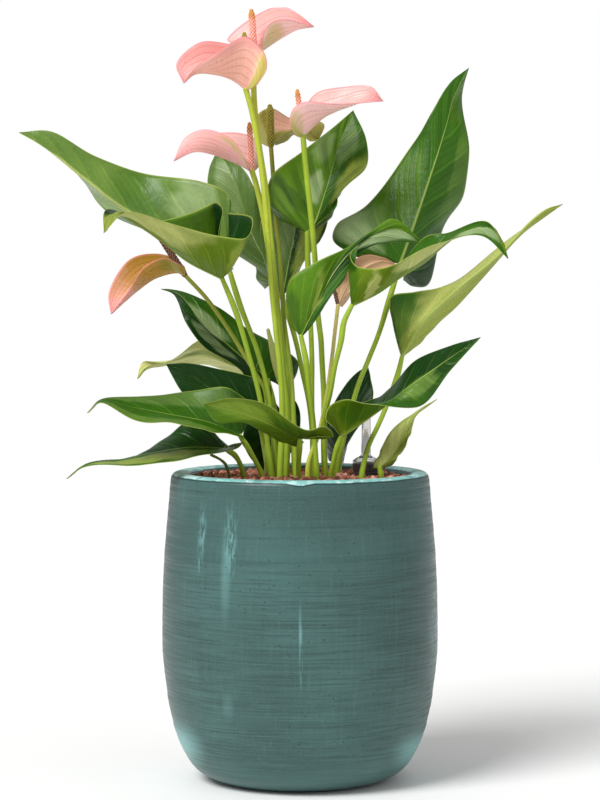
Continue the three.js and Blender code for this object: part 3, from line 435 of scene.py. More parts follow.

# Lighter and darker places on the blades, mostly painted highlights, painted reflections (sheen) and painted
# shade: face, share of the margin, part of the way out from the rib (below 0 on the left), half size of each,
# shade, strength
PATCH_CORE = 0.55
LEAF_PATCHES = {
    "leaf_high_left": [
        ("upper", 0.42, 0.6, 0.11, 0.7, "sheen", 0.5), ("upper", 0.7, -0.6, 0.2, 0.7, "sheen", 0.6),
        ("upper", 0.75, -0.05, 0.3, 0.14, "cream", 0.5), ("upper", 0.6, 0.55, 0.09, 0.6, "mid", 0.5),
        ("upper", 0.24, 0.6, 0.1, 0.6, "grey", 0.7),
    ],
    "leaf_mid_left": [
        ("under", 0.76, -0.7, 0.24, 0.5, "cream", 0.65), ("under", 0.6, -0.9, 0.16, 0.25, "cream", 0.4),
        ("upper", 0.95, 0.0, 0.12, 1.5, "pale", 0.9), ("under", 0.34, -0.6, 0.06, 0.5, "pale", 0.7),
        ("upper", 0.5, 0.6, 0.22, 0.6, "bright", 0.9),
    ],
    "leaf_behind_left": [
        ("upper", 0.78, -0.3, 0.2, 0.6, "sheen", 0.3), ("upper", 0.3, -0.4, 0.2, 0.6, "light", 0.5),
    ],
    "leaf_centre_bright": [
        ("upper", 0.62, 0.72, 0.15, 0.5, "pale", 0.8), ("upper", 0.86, 0.3, 0.14, 0.5, "sheen", 0.25),
        ("upper", 0.42, -0.7, 0.16, 0.4, "light", 0.5), ("upper", 0.25, 0.4, 0.2, 0.5, "dark", 0.6),
        ("upper", 0.62, -0.28, 0.08, 0.3, "sheen", 0.6), ("upper", 0.76, -0.7, 0.1, 0.4, "sheen", 0.3),
        ("upper", 0.5, -0.55, 0.05, 0.5, "dark", 0.5),
    ],
    "leaf_behind_centre": [
        ("upper", 0.5, 0.5, 0.26, 0.45, "pale", 0.8), ("upper", 0.7, -0.4, 0.2, 0.5, "sheen", 0.3),
    ],
    "leaf_high_right": [
        ("upper", 0.3, -0.75, 0.18, 0.55, "sheen", 0.6), ("upper", 0.5, -0.6, 0.16, 0.6, "bright", 0.6),
        ("upper", 0.24, 0.7, 0.24, 0.8, "dark", 1.0), ("upper", 0.62, 0.8, 0.2, 0.3, "light", 0.4),
        ("upper", 0.85, 0.4, 0.1, 0.6, "bright", 0.5),
    ],
    "leaf_front_right": [
        ("under", 0.72, 0.0, 0.12, 0.8, "dark", 1.0), ("under", 0.54, 0.2, 0.04, 0.7, "pale", 0.6),
        ("under", 0.86, -0.4, 0.12, 0.6, "sheen", 0.8), ("upper", 0.86, -0.4, 0.12, 0.6, "sheen", 0.8),
        ("under", 0.25, 0.4, 0.16, 0.6, "dark", 0.5),
    ],
    "leaf_right_rolled": [
        ("under", 0.42, 0.45, 0.04, 0.6, "cream", 0.5), ("under", 0.66, 0.75, 0.16, 0.4, "cream", 0.6),
        ("under", 0.24, 0.5, 0.1, 0.8, "mid", 0.7), ("under", 0.2, 1.0, 0.1, 0.3, "dark", 0.8),
        ("upper", 0.82, 0.2, 0.12, 0.6, "sheen", 0.6),
    ],
    "leaf_right_tail": [
        ("under", 0.3, 0.8, 0.32, 0.85, "mid", 1.0), ("under", 0.3, 0.9, 0.2, 0.5, "dark", 0.4),
        ("under", 0.72, 0.4, 0.3, 0.9, "cream", 0.4), ("upper", 0.3, 1.0, 0.32, 0.8, "mid", 1.0),
    ],
    "leaf_low_right": [
        ("upper", 0.7, 0.3, 0.1, 0.5, "light", 0.7), ("upper", 0.85, 0.1, 0.12, 0.8, "dark", 0.8),
        ("under", 0.5, 0.5, 0.2, 0.6, "mid", 0.7),
    ],
    "leaf_small_right": [
        ("under", 0.5, -0.5, 0.4, 0.6, "cream", 0.6), ("upper", 0.5, -0.5, 0.4, 0.6, "cream", 0.6),
    ],
    "leaf_front_low": [
        ("under", 0.5, -0.4, 0.22, 0.6, "mid", 0.85), ("under", 0.8, -0.2, 0.2, 0.8, "vein", 0.5),
    ],
    "leaf_left_low": [
        ("upper", 0.6, 0.75, 0.34, 0.4, "grey", 0.8), ("upper", 0.62, -0.8, 0.34, 0.3, "light", 0.7),
    ],
    "leaf_lowest_left": [
        ("upper", 0.65, -0.6, 0.3, 0.4, "pale", 0.8), ("upper", 0.5, 0.5, 0.24, 0.6, "dark", 1.0),
    ],
    "leaf_left_mid": [
        ("upper", 0.7, 0.1, 0.12, 0.4, "sheen", 0.8), ("upper", 0.6, -0.5, 0.14, 0.3, "sheen", 0.4),
    ],
    "leaf_left_pale": [
        ("under", 0.58, -0.3, 0.24, 0.3, "under", 0.9), ("upper", 0.5, 0.3, 0.2, 0.6, "mid", 0.7),
    ],
}

# Places of other colour on the spathes, in the same columns; the inner face is the upper one
SPATHE_PATCHES = {
    "top_back": [("under", 0.5, 0.4, 0.24, 0.7, "lime", 0.7), ("upper", 0.12, 0.0, 0.16, 1.0, "lime", 0.4)],
    "top_front": [
        ("under", 0.14, -0.8, 0.26, 0.75, "lime", 1.0), ("under", 0.1, -0.95, 0.22, 0.4, "olive", 0.5),
        ("under", 0.5, -0.9, 0.3, 0.16, "blush", 0.3),
    ],
    "right": [("under", 0.2, 0.6, 0.26, 0.8, "lime", 0.5), ("under", 0.7, 0.3, 0.3, 0.6, "pink", 0.5)],
    "left": [("under", 0.36, -0.9, 0.26, 0.22, "lime", 0.6), ("under", 0.2, 0.0, 0.2, 0.4, "lime", 0.5)],
    "centre": [("upper", 0.6, -0.7, 0.22, 0.45, "salmon", 0.8), ("under", 0.5, 0.5, 0.4, 0.7, "gold", 0.8)],
    "low_left": [
        ("under", 0.36, -0.7, 0.3, 0.6, "olive", 0.8), ("upper", 0.4, 0.3, 0.2, 0.8, "olive", 0.6),
    ],
}

# Shades of each spathe: inner face at the base and at the tip, then outer face at the base and at the tip
SPATHE_SHADES = {
    "top_back": ("pink", "rose", "lime", "pink"),
    "top_front": ("pink", "rose", "lime", "salmon"),
    "right": ("pink", "rose", "lime", "pink"),
    "left": ("salmon", "pink", "salmon", "rose"),
    "centre": ("lime", "lime", "lime", "lime"),
    "low_left": ("gold", "rose", "gold", "rose"),
    "dried": ("tan", "tan", "tan", "tan"),
}

# Where along the margin the base colour gives way to the colour of the tip
USUAL_TURNS = (0.1, 0.3)
SPATHE_TURNS = {"low_left": (0.65, 1.0)}

# The shade of the thin margin and the tip, where it isn't the blush
SPATHE_RIMS = {"centre": "olive", "dried": "gold"}

# Spadix of each bloom: colour at the foot and at the tip
SPADIX_SHADES = {
    "top_back": ("flesh", "orange"),
    "top_front": ("flesh", "moss"),
    "right": ("flesh", "orange"),
    "left": ("flesh", "orange"),
    "centre": ("moss", "moss"),
    "low_left": ("bark", "bark"),
    "dried": ("bark", "bark"),
}

# How dark the painted shade in the gaps between the florets is, where it isn't the usual
USUAL_DEPTH = 0.6
GAP_DEPTH = {"centre": 1, "low_left": 1, "dried": 1, "left": 0.8}

# Stalks that are slimmer above than the others, as a share of the usual radius
STALK_SLIM = {"centre": 0.8, "low_left": 0.74, "dried": 0.7}

# Each bloom's stalk: colour at the foot and at the top
STALK_SHADES = {
    "top_back": ("stem", "stem_pale"),
    "top_front": ("stem", "stem_pale"),
    "right": ("stem", "stem"),
    "left": ("stem", "stem_pale"),
    "centre": ("stem", "stem_brown"),
    "low_left": ("stem", "stem_brown"),
    "dried": ("stem_pale", "straw"),
}

# Pale and dark places in the glaze, in metres: centre, half size, shade, strength, kind of edge. Most pale
# ones are pale glaze; the two at the foot are painted reflections of the floor, and the two dark ones at the
# sides are painted shade.
POT_PATCHES = [
    ((-0.067, -0.118, 0.25), (0.009, 0.04, 0.05), "pale_glaze_and_reflection", 0.4, "brushed"),
    ((-0.072, -0.117, 0.215), (0.007, 0.04, 0.06), "pale_glaze_and_reflection", 0.2, "soft"),
    ((-0.094, -0.095, 0.262), (0.005, 0.03, 0.034), "pale_glaze_and_reflection", 0.4, "brushed"),
    ((-0.097, -0.093, 0.235), (0.004, 0.03, 0.04), "pale_glaze_and_reflection", 0.3, "brushed"),
    ((0.001, -0.137, 0.145), (0.0024, 0.02, 0.05), "pale_glaze_and_reflection", 0.35, "brushed"),
    ((0.0, -0.137, 0.165), (0.0018, 0.02, 0.04), "pale_glaze_and_reflection", 0.3, "soft"),
    ((-0.07, -0.12, 0.09), (0.009, 0.03, 0.02), "pale_glaze_and_reflection", 0.12, "soft"),
    ((0.139, -0.02, 0.15), (0.018, 0.1, 0.08), "pale_glaze_and_reflection", 0.4, "brushed"),
    # Painted reflections of the floor at the left and right of the foot
    ((-0.12, 0, 0.038), (0.034, 0.3, 0.036), "pale_glaze_and_reflection", 0.8, "soft"),
    ((0.115, 0, 0.032), (0.032, 0.3, 0.032), "pale_glaze_and_reflection", 0.75, "soft"),
    ((0.06, -0.11, 0.285), (0.07, 0.06, 0.03), "glaze_dark", 0.4, "soft"),
    # Painted shade at the left and right sides
    ((-0.142, -0.02, 0.17), (0.05, 0.1, 0.17), "glaze_dark", 0.9, "soft"),
    ((0.138, -0.01, 0.24), (0.035, 0.08, 0.06), "glaze_dark", 0.6, "soft"),
]

# Material slots of the blooms that differ from the others
SPATHE_SLOTS = {"centre": "spathe_olive", "low_left": "spathe_gold", "dried": "spathe_tan"}
SPADIX_SLOTS = {"centre": "spadix_olive", "low_left": "dry_brown", "dried": "dry_brown"}


def srgb(red, green, blue):
    """A colour named by its screen values, 0 to 255, as linear light."""
    values = (red, green, blue)
    return tuple(((v / 255 + 0.055) / 1.055) ** 2.4 if v > 10 else v / 3295 for v in values)


def colour(name, description, red, green, blue):
    shade = srgb(red, green, blue)
    return bpy.props.FloatVectorProperty(
        name=name, description=description, subtype="COLOR", size=3, min=0, max=1, default=shade,
    )


def length(name, description, metres):
    return bpy.props.FloatProperty(
        name=name, description=description, unit="LENGTH", min=0, default=metres)


def strength(name, description, value):
    return bpy.props.FloatProperty(name=name, description=description, min=0, default=value)


class PotSettings(bpy.types.PropertyGroup):
    glaze: colour("Glaze", "Main colour of the glaze", 56, 82, 79)
    # Also the colour of the painted shade at the sides of the pot
    glaze_dark: colour("Dark lines", "Brushed lines in the glaze", 44, 68, 65)
    # Also the colour of the painted reflection that lightens the foot
    glaze_light: colour("Light streaks", "Thin glaze that runs down", 76, 113, 110)
    # Palest glaze, and the colour of the painted reflections at the foot
    pale_glaze_and_reflection: colour("Glow", "Palest places in the glaze", 136, 192, 190)
    lip: colour("Lip", "Glaze on the top of the lip", 130, 186, 184)
    inside: colour("Inside", "Glaze on the inner wall", 80, 108, 106)
    line_height: length("Line height", "Height of the brushed ridges", 0.00022)


class BedSettings(bpy.types.PropertyGroup):
    clay: colour("Clay", "Fired clay of most granules", 188, 116, 92)
    # Also the base of the painted shade in the gaps between the granules
    clay_dark: colour("Dark clay", "Darkest granules and the gaps between them", 112, 60, 46)
    clay_light: colour("Light clay", "Palest granules", 222, 168, 144)
    grain: length("Granule", "Diameter of a middling granule", 0.0058)


class GaugeSettings(bpy.types.PropertyGroup):
    body: colour("Body", "Dark plastic of the gauge", 52, 40, 46)
    clear: colour("Tube", "Clear plastic of the gauge", 235, 233, 232)
    floater: colour("Float", "Plastic of the float and its tip", 186, 52, 36)
    tick: colour("Tick", "Printed level marks", 196, 180, 96)


class LeafSettings(bpy.types.PropertyGroup):
    dark: colour("Dark green", "Shaded upper faces", 8, 52, 0)
    mid: colour("Middle green", "Most upper faces", 46, 92, 6)
    bright: colour("Bright green", "Sunny upper faces", 76, 116, 12)
    light: colour("Light green", "Faces that catch the light", 96, 126, 52)
    grey: colour("Grey green", "Upper faces at the back", 82, 112, 50)
    under: colour("Under face", "Under faces", 92, 118, 14)
    pale: colour("Pale under face", "Under faces in the light", 144, 160, 66)
    cream: colour("Cream under face", "The palest under faces", 190, 194, 118)
    sheen: colour("Sheen", "Where a blade mirrors the sky", 160, 182, 130)
    vein: colour("Veins", "Side veins", 132, 162, 54)
    rib: colour("Rib", "Middle rib", 158, 178, 84)
    margin: colour("Margin", "Thin edge of the blade", 164, 178, 84)
    vein_relief: length("Vein relief", "How far the blade swells between its side veins", 0.0007)
    wave: length("Wave", "How far the margin waves", 0.0012)


class BloomSettings(bpy.types.PropertyGroup):
    pink: colour("Pink", "Inner face of the spathes", 246, 198, 192)
    rose: colour("Rose", "Tips of the spathes", 248, 180, 174)
    salmon: colour("Salmon", "Outer face of the spathes", 246, 184, 168)
    blush: colour("Blush", "Margin and tip of the spathes", 226, 124, 134)
    lime: colour("Lime", "Green parts of the spathes", 176, 176, 84)
    olive: colour("Olive", "Old spathe", 142, 136, 44)
    gold: colour("Gold", "Golden brown spathe", 186, 140, 50)
    tan: colour("Tan", "Dried spathe", 204, 166, 126)
    flesh: colour("Spadix", "Pink spadix", 238, 170, 154)
    orange: colour("Spadix tip", "Orange spadix tip", 196, 136, 66)
    moss: colour("Old spadix", "Olive spadix", 134, 132, 32)
    bark: colour("Withered spadix", "Brown spadix", 92, 62, 40)
    stem: colour("Stalk", "Stalks and petioles", 150, 176, 46)
    stem_pale: colour("Pale stalk", "Stalks in the light", 180, 192, 60)
    stem_brown: colour("Brown stalk", "Stalks that turn brown", 138, 140, 44)
    straw: colour("Dry stalk", "Straw-coloured stalk", 206, 192, 116)


class StageSettings(bpy.types.PropertyGroup):
    floor: colour("Floor", "Pale floor", 246, 246, 245)
    brightness: strength("Sky", "Strength of the even light", 0.5)
    key: strength("Key light", "Strength of the upper left lamp", 3.1)
    fill: strength("Fill light", "Strength of the right lamp", 0.35)


# Curves


class Path:
    """A smooth curve through points in space, followed by share of its spans or of its length."""

    def __init__(self, points):
        pts = np.array(points, float)
        self.points = np.vstack([2 * pts[0] - pts[1], pts, 2 * pts[-1] - pts[-2]])
        self.spans = len(pts) - 1
        self.shares = np.linspace(0, 1, LENGTH_STEPS + 1)
        steps = np.linalg.norm(np.diff(self.at(self.shares), axis=0), axis=1)
        self.lengths = np.concatenate([[0], np.cumsum(steps)])

    def at(self, share):
        place = np.clip(np.asarray(share, float), 0, 1) * self.spans
        span = np.minimum(place.astype(int), self.spans - 1)
        part = (place - span)[..., None]
        p0, p1, p2, p3 = (self.points[span + k] for k in range(4))
        pairs = ((p0, p1), (p1, p2), (p2, p3))
        d0, d1, d2 = (np.sqrt(np.linalg.norm(b - a, axis=-1, keepdims=True)) for a, b in pairs)
        t1 = ((p1 - p0) / d0 - (p2 - p0) / (d0 + d1) + (p2 - p1) / d1) * d1
        t2 = ((p2 - p1) / d1 - (p3 - p1) / (d1 + d2) + (p3 - p2) / d2) * d1
        c2 = -3 * p1 + 3 * p2 - 2 * t1 - t2
        c3 = 2 * p1 - 2 * p2 + t1 + t2
        return p1 + part * (t1 + part * (c2 + part * c3))

    def share_of_length(self, share):
        return np.interp(np.asarray(share, float) * self.lengths[-1], self.lengths, self.shares)

    def along(self, share):
        return self.at(self.share_of_length(share))

    def direction(self, share):
        middle = self.share_of_length(share)
        ahead = self.at(np.minimum(middle + 1e-4, 1)) - self.at(np.maximum(middle - 1e-4, 0))
        return ahead / np.linalg.norm(ahead, axis=-1, keepdims=True)


def spline(values, share):
    """A smooth line through numbers or rows of numbers, read at shares of its spans."""
    rows = np.array(values, float)
    padded = np.concatenate([rows[:1], rows, rows[-1:]])
    place = np.clip(np.asarray(share, float), 0, 1) * (len(rows) - 1)
    span = np.minimum(place.astype(int), len(rows) - 2)
    part = place - span
    if rows.ndim > 1:
        part = part[..., None]
    p0, p1, p2, p3 = (padded[span + k] for k in range(4))
    t1, t2 = (p2 - p0) / 2, (p3 - p1) / 2
    return p1 + part * (t1 + part * (-3 * p1 + 3 * p2 - 2 * t1 - t2 + part * (2 * p1 - 2 * p2 + t1 + t2)))


def seen(point):
    """The place in space of a point listed as it is seen from the front."""
    across, up, depth = point
    away = depth * DEPTH_SPREAD
    scale = 1 + away / VIEW_DISTANCE
    return np.array([across * scale, away, VIEW_HEIGHT + (up - VIEW_HEIGHT) * scale])


def stem_path(root, stem, end):
    """The way of a stem from below the granules, through its listed points, to its end."""
    x, depth = root
    y = depth * DEPTH_SPREAD
    foot = [x, y, BED_TOP - ROOT_DEPTH]
    collar = [x, y, BED_TOP]
    return Path([foot, collar, *[seen(p) for p in stem], seen(end)])


# Shapes


def welded(points, faces, corners, finishes, digits):
    """Joins points that round to the same place. Gives the points kept, and what is left of each face."""
    _, first, merged = np.unique(np.round(points, digits), axis=0, return_index=True, return_inverse=True)
    merged = merged.reshape(-1).tolist()
    left = []
    for face, places, finish in zip(faces, corners, finishes):
        kept = [(merged[i], place) for i, place in zip(face, places)]
        kept = [pair for k, pair in enumerate(kept) if pair[0] != kept[k - 1][0]]
        if len({i for i, _ in kept}) == len(kept) > 2:
            left.append(([i for i, _ in kept], [place for _, place in kept], finish))
    return first, left


class Shape:
    """Points in millimetres with a tone each, and faces with a finish each and a place for each corner."""

    def __init__(self):
        self.points, self.tones, self.faces, self.places, self.finishes = [], [], [], [], []

    def add(self, points, tones, faces, places, finish):
        start = len(self.points)
        self.points.extend(points)
        self.tones.extend(tones)
        self.faces.extend([tuple(start + int(i) for i in face) for face in faces])
        self.places.extend(places)
        self.finishes.extend([finish] * len(faces))

    def grid(self, points, tones, places, finish, closed=False, flip=False):
        """Adds rows of points. Closed rows join end to end."""
        rows, columns = points.shape[:2]
        width = columns - 1 if closed else columns
        flat = points[:, :width].reshape(-1, 3)
        faces, corners = [], []
        for row in range(rows - 1):
            for column in range(columns - 1):
                ring = [(row, column), (row, column + 1), (row + 1, column + 1), (row + 1, column)]
                if flip:
                    ring.reverse()
                faces.append([r * width + c % width for r, c in ring])
                corners.append([tuple(places[r, c]) for r, c in ring])
        self.add(flat, tones[:, :width].ravel(), faces, corners, finish)

    def make(self, name, materials, slot, body=PLANTER, replaces=()):
        """Turns the shape into a smooth object that rides on a body, kept inside the solids' box."""
        low, high = (np.array(corner) / MM for corner in SOLID_BOX)
        points = np.clip(np.array(self.points, float), low, high)
        first, left = welded(points, self.faces, self.places, self.finishes, 3)
        faces, corners, finishes = zip(*left)
        mesh = bpy.data.meshes.new(name)
        mesh.from_pydata((points[first] * MM).tolist(), [], faces)
        places = np.array([place for face in corners for place in face], float)
        mesh.uv_layers.new(name="place").data.foreach_set("uv", places.ravel())
        tone = mesh.attributes.new("tone", "FLOAT", "POINT")
        tone.data.foreach_set("value", np.array(self.tones, float)[first])
        for material in materials:
            mesh.materials.append(material)
        mesh.polygons.foreach_set("material_index", finishes)
        mesh.polygons.foreach_set("use_smooth", [True] * len(faces))
        mesh.update()
        piece = bpy.data.objects.new(name, mesh)
        bpy.context.scene.collection.objects.link(piece)
        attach(piece, body)
        if replaces:
            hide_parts(*replaces)
        return piece


def turned(shape, outline, sides, centre=(0, 0)):
    """Adds an outline of [radius, height] points turned round an upright axis."""
    outline = np.array(outline, float)
    angles = np.linspace(0, 2 * math.pi, sides + 1)
    radius = outline[:, :1]
    points = np.stack([
        centre[0] + radius * np.cos(angles), centre[1] + radius * np.sin(angles),
        np.broadcast_to(outline[:, 1:2], (len(outline), sides + 1)),
    ], axis=-1)
    steps = np.linalg.norm(np.diff(outline, axis=0), axis=1)
    run = np.concatenate([[0], np.cumsum(steps)])
    places = np.stack(np.broadcast_arrays(angles[None, :] / (2 * math.pi), run[:, None]), axis=-1)
    shape.grid(points, np.zeros(points.shape[:2]), places, 0, closed=True)


def swept(shape, path, shares, radii, sides, finish=0, tones=None):
    """Adds a tube with round ends along a path. Radii are one for each share, or for each share and side."""
    centres = path.along(shares)
    ways = path.direction(shares)
    size = (len(shares), sides)
    radii = np.broadcast_to(np.asarray(radii, float).reshape(len(shares), -1), size)
    tones = np.asarray(shares if tones is None else tones, float).reshape(len(shares), -1)
    tones = np.broadcast_to(tones, size)
    side = np.cross(ways[0], [0.0, 1.0, 0.2])
    frames = []
    for way in ways:
        side = side - way * (side @ way)
        side = side / np.linalg.norm(side)
        frames.append((side, np.cross(way, side)))
    angles = 2 * math.pi * np.arange(sides) / sides
    rows, tone_rows, run = [], [], []

    def ring(i, shift, scale):
        a, b = frames[i]
        spokes = np.outer(np.cos(angles), a) + np.outer(np.sin(angles), b)
        rows.append(centres[i] + ways[i] * shift + spokes * (radii[i] * scale)[:, None])
        tone_rows.append(tones[i])
        run.append(shares[i])

    def dome_ring(i, bend, way):
        ring(i, way * radii[i].mean() * (1 - bend), math.sqrt(1 - (1 - bend) ** 2))

    last = len(shares) - 1
    for bend in DOME_BENDS:
        dome_ring(0, bend, -1)
    for i in range(len(shares)):
        ring(i, 0, 1)
    for bend in reversed(DOME_BENDS):
        dome_ring(last, bend, 1)
    points, tone_grid = (np.array(grid) for grid in (rows, tone_rows))
    points, tone_grid = (np.concatenate([grid, grid[:, :1]], axis=1) for grid in (points, tone_grid))
    around = np.arange(sides + 1) / sides
    places = np.stack(np.broadcast_arrays(np.array(run)[:, None], around[None, :]), axis=-1)
    shape.grid(points, tone_grid, places, finish, closed=True)


# Blades


def margin_path(blade, side, lean):
    """The margin of one side. Points listed without a depth get it from the blade's width and lean."""
    count = len(blade[side])
    rib_flat = Path([[across, 0, up] for across, up, _ in blade["rib"]])
    rib_deep = Path([[i, depth, 0] for i, (_, _, depth) in enumerate(blade["rib"])])
    points = []
    for i, point in enumerate(blade[side]):
        if len(point) == 3:
            points.append(seen(point))
            continue
        share = RIB_SHARE[count][i]
        offset = np.linalg.norm(rib_flat.along(share) - [point[0], 0, point[1]])
        reach = blade["width"] * WIDTH_SHARE[count][i]
        turn = math.sqrt(max(0, reach * reach - offset * offset))
        points.append(seen([*point, rib_deep.at(share)[1] + lean * turn / DEPTH_SPREAD]))
    return Path([*points, seen(blade["rib"][-1])])


def smoothed(rows, reach):
    """Rows averaged with their neighbours, so that a surface doesn't kink."""
    kernel = np.hanning(2 * reach + 3)[1:-1]
    padded = np.concatenate([np.repeat(rows[:1], reach, 0), rows, np.repeat(rows[-1:], reach, 0)])
    total = sum(w * padded[k:k + len(rows)] for k, w in enumerate(kernel))
    return total / kernel.sum()


def unit(rows):
    """Rows scaled to a length of 1."""
    return rows / np.maximum(np.linalg.norm(rows, axis=1, keepdims=True), 1e-9)


def blade_net(blade, camber):
    """A blade's middle surface: points, their fields (share, out, size, along), faces and places."""
    rib = Path([seen(p) for p in blade["rib"]])
    rows = np.linspace(0, 1, BLADE_ROWS + 1)
    out = (np.arange(BLADE_STEPS + 1) / BLADE_STEPS) ** STEP_BIAS
    count = len(out)
    shares = [np.clip(spline(RIB_SHARE[len(blade[side])], rows), 0, 1) for side in ("right", "left")]
    along = (shares[0] + shares[1]) / 2
    start = rib.along(along)
    way = rib.direction(along)
    points, places, fields, faces = [], [], [], []
    for side, turn, lean in (("right", 1, blade["lean"][0]), ("left", -1, blade["lean"][1])):
        ray = margin_path(blade, side, lean).at(rows) - start
        up = unit(smoothed(np.cross(ray, way) * turn, SMOOTH_ROWS))
        size = np.linalg.norm(ray, axis=1)
        rise = camber * size[:, None] * 4 * out * (1 - out)
        sheet = start[:, None] + ray[:, None] * out[:, None] + up[:, None] * rise[..., None]
        first = len(points)
        for row, share in enumerate(rows):
            for step, away in enumerate(out):
                points.append(sheet[row, step])
                places.append((share, turn * away))
                fields.append((share, away, size[row], along[row]))
        for row in range(1, len(rows)):
            for step in range(1, count):
                d = first + row * count + step
                quad = [d - count - 1, d - count, d, d - 1]
                faces.append(quad if turn == 1 else quad[::-1])
    points = np.array(points)
    corners = [[places[i] for i in face] for face in faces]
    kept, left = welded(points, faces, corners, [0] * len(faces), 2)
    quads, corners, _ = zip(*left)
    return points[kept], np.array(fields)[kept].T, quads, corners


def leaf_relief(settings, phase):
    """How far a leaf blade swells between its side veins and waves at its margin, in millimetres."""
    def relief(share, out):
        wave = 0.5 + 0.5 * np.cos(2 * math.pi * LEAF_VEINS * (share - VEIN_BEND * out))
        swell = -wave ** 3 * np.minimum(1, out * 6) * (1 - out ** 4)
        slow = np.sin(2 * math.pi * (2.6 * share + phase))
        curl = slow + 0.4 * np.sin(2 * math.pi * (6.3 * share + 2 * phase))
        curl = settings.wave / MM * curl * out ** 3 * np.sin(math.pi * share)
        return settings.vein_relief / MM * swell + curl
    return relief


def spathe_relief(phase):
    """The same for a spathe, whose veins run lengthwise."""
    def relief(share, out):
        wave = 0.5 + 0.5 * np.cos(2 * math.pi * SPATHE_VEINS * (out - VEIN_SHIFT))
        swell = -wave ** 4 * np.minimum(1, out * 5) * (1 - out)
        curl = np.sin(2 * math.pi * (2.2 * share + phase))
        return 0.35 * swell + 0.7 * curl * out ** 3 * np.sin(math.pi * share)
    return relief


def add_blade(shape, blade, camber, relief, rib_height, base_width):
    """Adds a blade as a closed sheet: upper face, under face and edge are finishes 0, 1 and 2."""
    points, (share, out, size, along), quads, corners = blade_net(blade, camber)
    normals = np.zeros_like(points)
    for quad in quads:
        a, b, c, d = (points[quad[k]] for k in (0, 1, 2, -1))
        face_normal = np.cross(c - a, d - b)
        for i in quad:
            normals[i] += face_normal
    normals = unit(normals)
    middle = points + normals * relief(share, out)[:, None]
    from_rib = out * size
    half = BLADE_HALF + (EDGE_HALF - BLADE_HALF) * out
    thin = (1 - along) ** 0.7
    under = half + rib_height * thin * np.exp(-(from_rib / (base_width * (0.35 + 0.65 * thin))) ** 2)
    over = half + 0.25 * rib_height * thin * np.exp(-(from_rib / (0.7 * base_width)) ** 2)
    far = np.linalg.norm(points - seen(blade["rib"][0]), axis=1)
    tones = far / far.max()
    total = len(points)
    start = len(shape.points)
    shape.add(middle + normals * over[:, None], tones, quads, corners, 0)
    lower_corners = [places[::-1] for places in corners]
    shape.add(middle - normals * under[:, None], tones, [quad[::-1] for quad in quads], lower_corners, 1)
    edges = {}
    for quad, places in zip(quads, corners):
        for k in range(len(quad)):
            after = (k + 1) % len(quad)
            pair = (quad[k], quad[after])
            if edges.pop(pair[::-1], None) is None:
                edges[pair] = (places[k], places[after])
    for (a, b), (place_a, place_b) in edges.items():
        shape.faces.append((start + b, start + a, start + total + a, start + total + b))
        shape.places.append([place_b, place_a, place_a, place_b])
        shape.finishes.append(2)


# Finishes


class Tree:
    """Adds nodes to a node tree and links them."""

    def __init__(self, tree):
        self.tree = tree

    def feed(self, node, inputs):
        """Links sockets to a node's inputs, and sets its plain numbers and colours."""
        for name, value in inputs.items():
            if isinstance(value, bpy.types.NodeSocket):
                self.tree.links.new(value, node.inputs[name])
            else:
                node.inputs[name].default_value = value

    def add(self, kind, inputs=None, **settings):
        node = self.tree.nodes.new(kind)
        for name, value in settings.items():
            setattr(node, name, value)
        self.feed(node, inputs or {})
        return node

    def group(self, name, inputs):
        """Places a shared group, which is built the first time, and gives its outputs."""
        made = bpy.data.node_groups.get(name) or GROUPS[name](name)
        return self.add("ShaderNodeGroup", inputs, node_tree=made).outputs

    def math(self, operation, first, second=0.0, third=0.0):
        return self.add("ShaderNodeMath", {0: first, 1: second, 2: third}, operation=operation).outputs[0]

    def times(self, first, second):
        return self.math("MULTIPLY", first, second)

    def vector(self, operation, first, second=(0, 0, 0)):
        node = self.add("ShaderNodeVectorMath", {0: first, 1: second}, operation=operation)
        return node.outputs["Value" if operation == "LENGTH" else "Vector"]

    def axes(self, vector):
        """A vector's three parts."""
        return self.add("ShaderNodeSeparateXYZ", {0: vector}).outputs

    def mix(self, factor, first, second, blend="MIX"):
        first, second = (c if isinstance(c, bpy.types.NodeSocket) else (*c, 1) for c in (first, second))
        node = self.add("ShaderNodeMix", {0: factor, 6: first, 7: second}, data_type="RGBA", blend_type=blend)
        return node.outputs[2]

    def tinted(self, base, shade, share=1):
        """The base multiplied by a colour, as far as the share says."""
        return self.mix(share, base, shade, blend="MULTIPLY")

    def layers(self, base, *layers):
        """The base with each layer's colour laid over it through the layer's mask."""
        for mask, shade in layers:
            base = self.mix(mask, base, shade)
        return base

    def span(self, value, low, high, to_low=0.0, to_high=1.0):
        """A smooth step from one value to another as the given one goes from low to high."""
        inputs = {"Value": value, "From Min": low, "From Max": high, "To Min": to_low, "To Max": to_high}
        return self.add("ShaderNodeMapRange", inputs, interpolation_type="SMOOTHSTEP").outputs[0]

    def noise(self, vector, scale, detail=3.0, stretch=None):
        if stretch:
            vector = self.add("ShaderNodeMapping", {"Vector": vector, "Scale": stretch}).outputs[0]
        return self.add("ShaderNodeTexNoise", {"Vector": vector, "Scale": scale, "Detail": detail}).outputs[0]

    def lines(self, value, count, sharpness):
        """Soft parallel lines, so many to each unit of the value."""
        wave = self.math("COSINE", self.times(value, 2 * math.pi * count))
        return self.math("POWER", self.math("MULTIPLY_ADD", wave, 0.5, 0.5), sharpness)

    def tone(self):
        """The tone that each point carries."""
        node = self.add("ShaderNodeAttribute", attribute_name="tone", attribute_type="GEOMETRY")
        return node.outputs["Fac"]

    def blot(self, vector, centre, size, core=0.0):
        """A soft round mask round a centre."""
        return self.group("Patch", {"Vector": vector, "Centre": centre, "Size": size, "Core": core})[0]


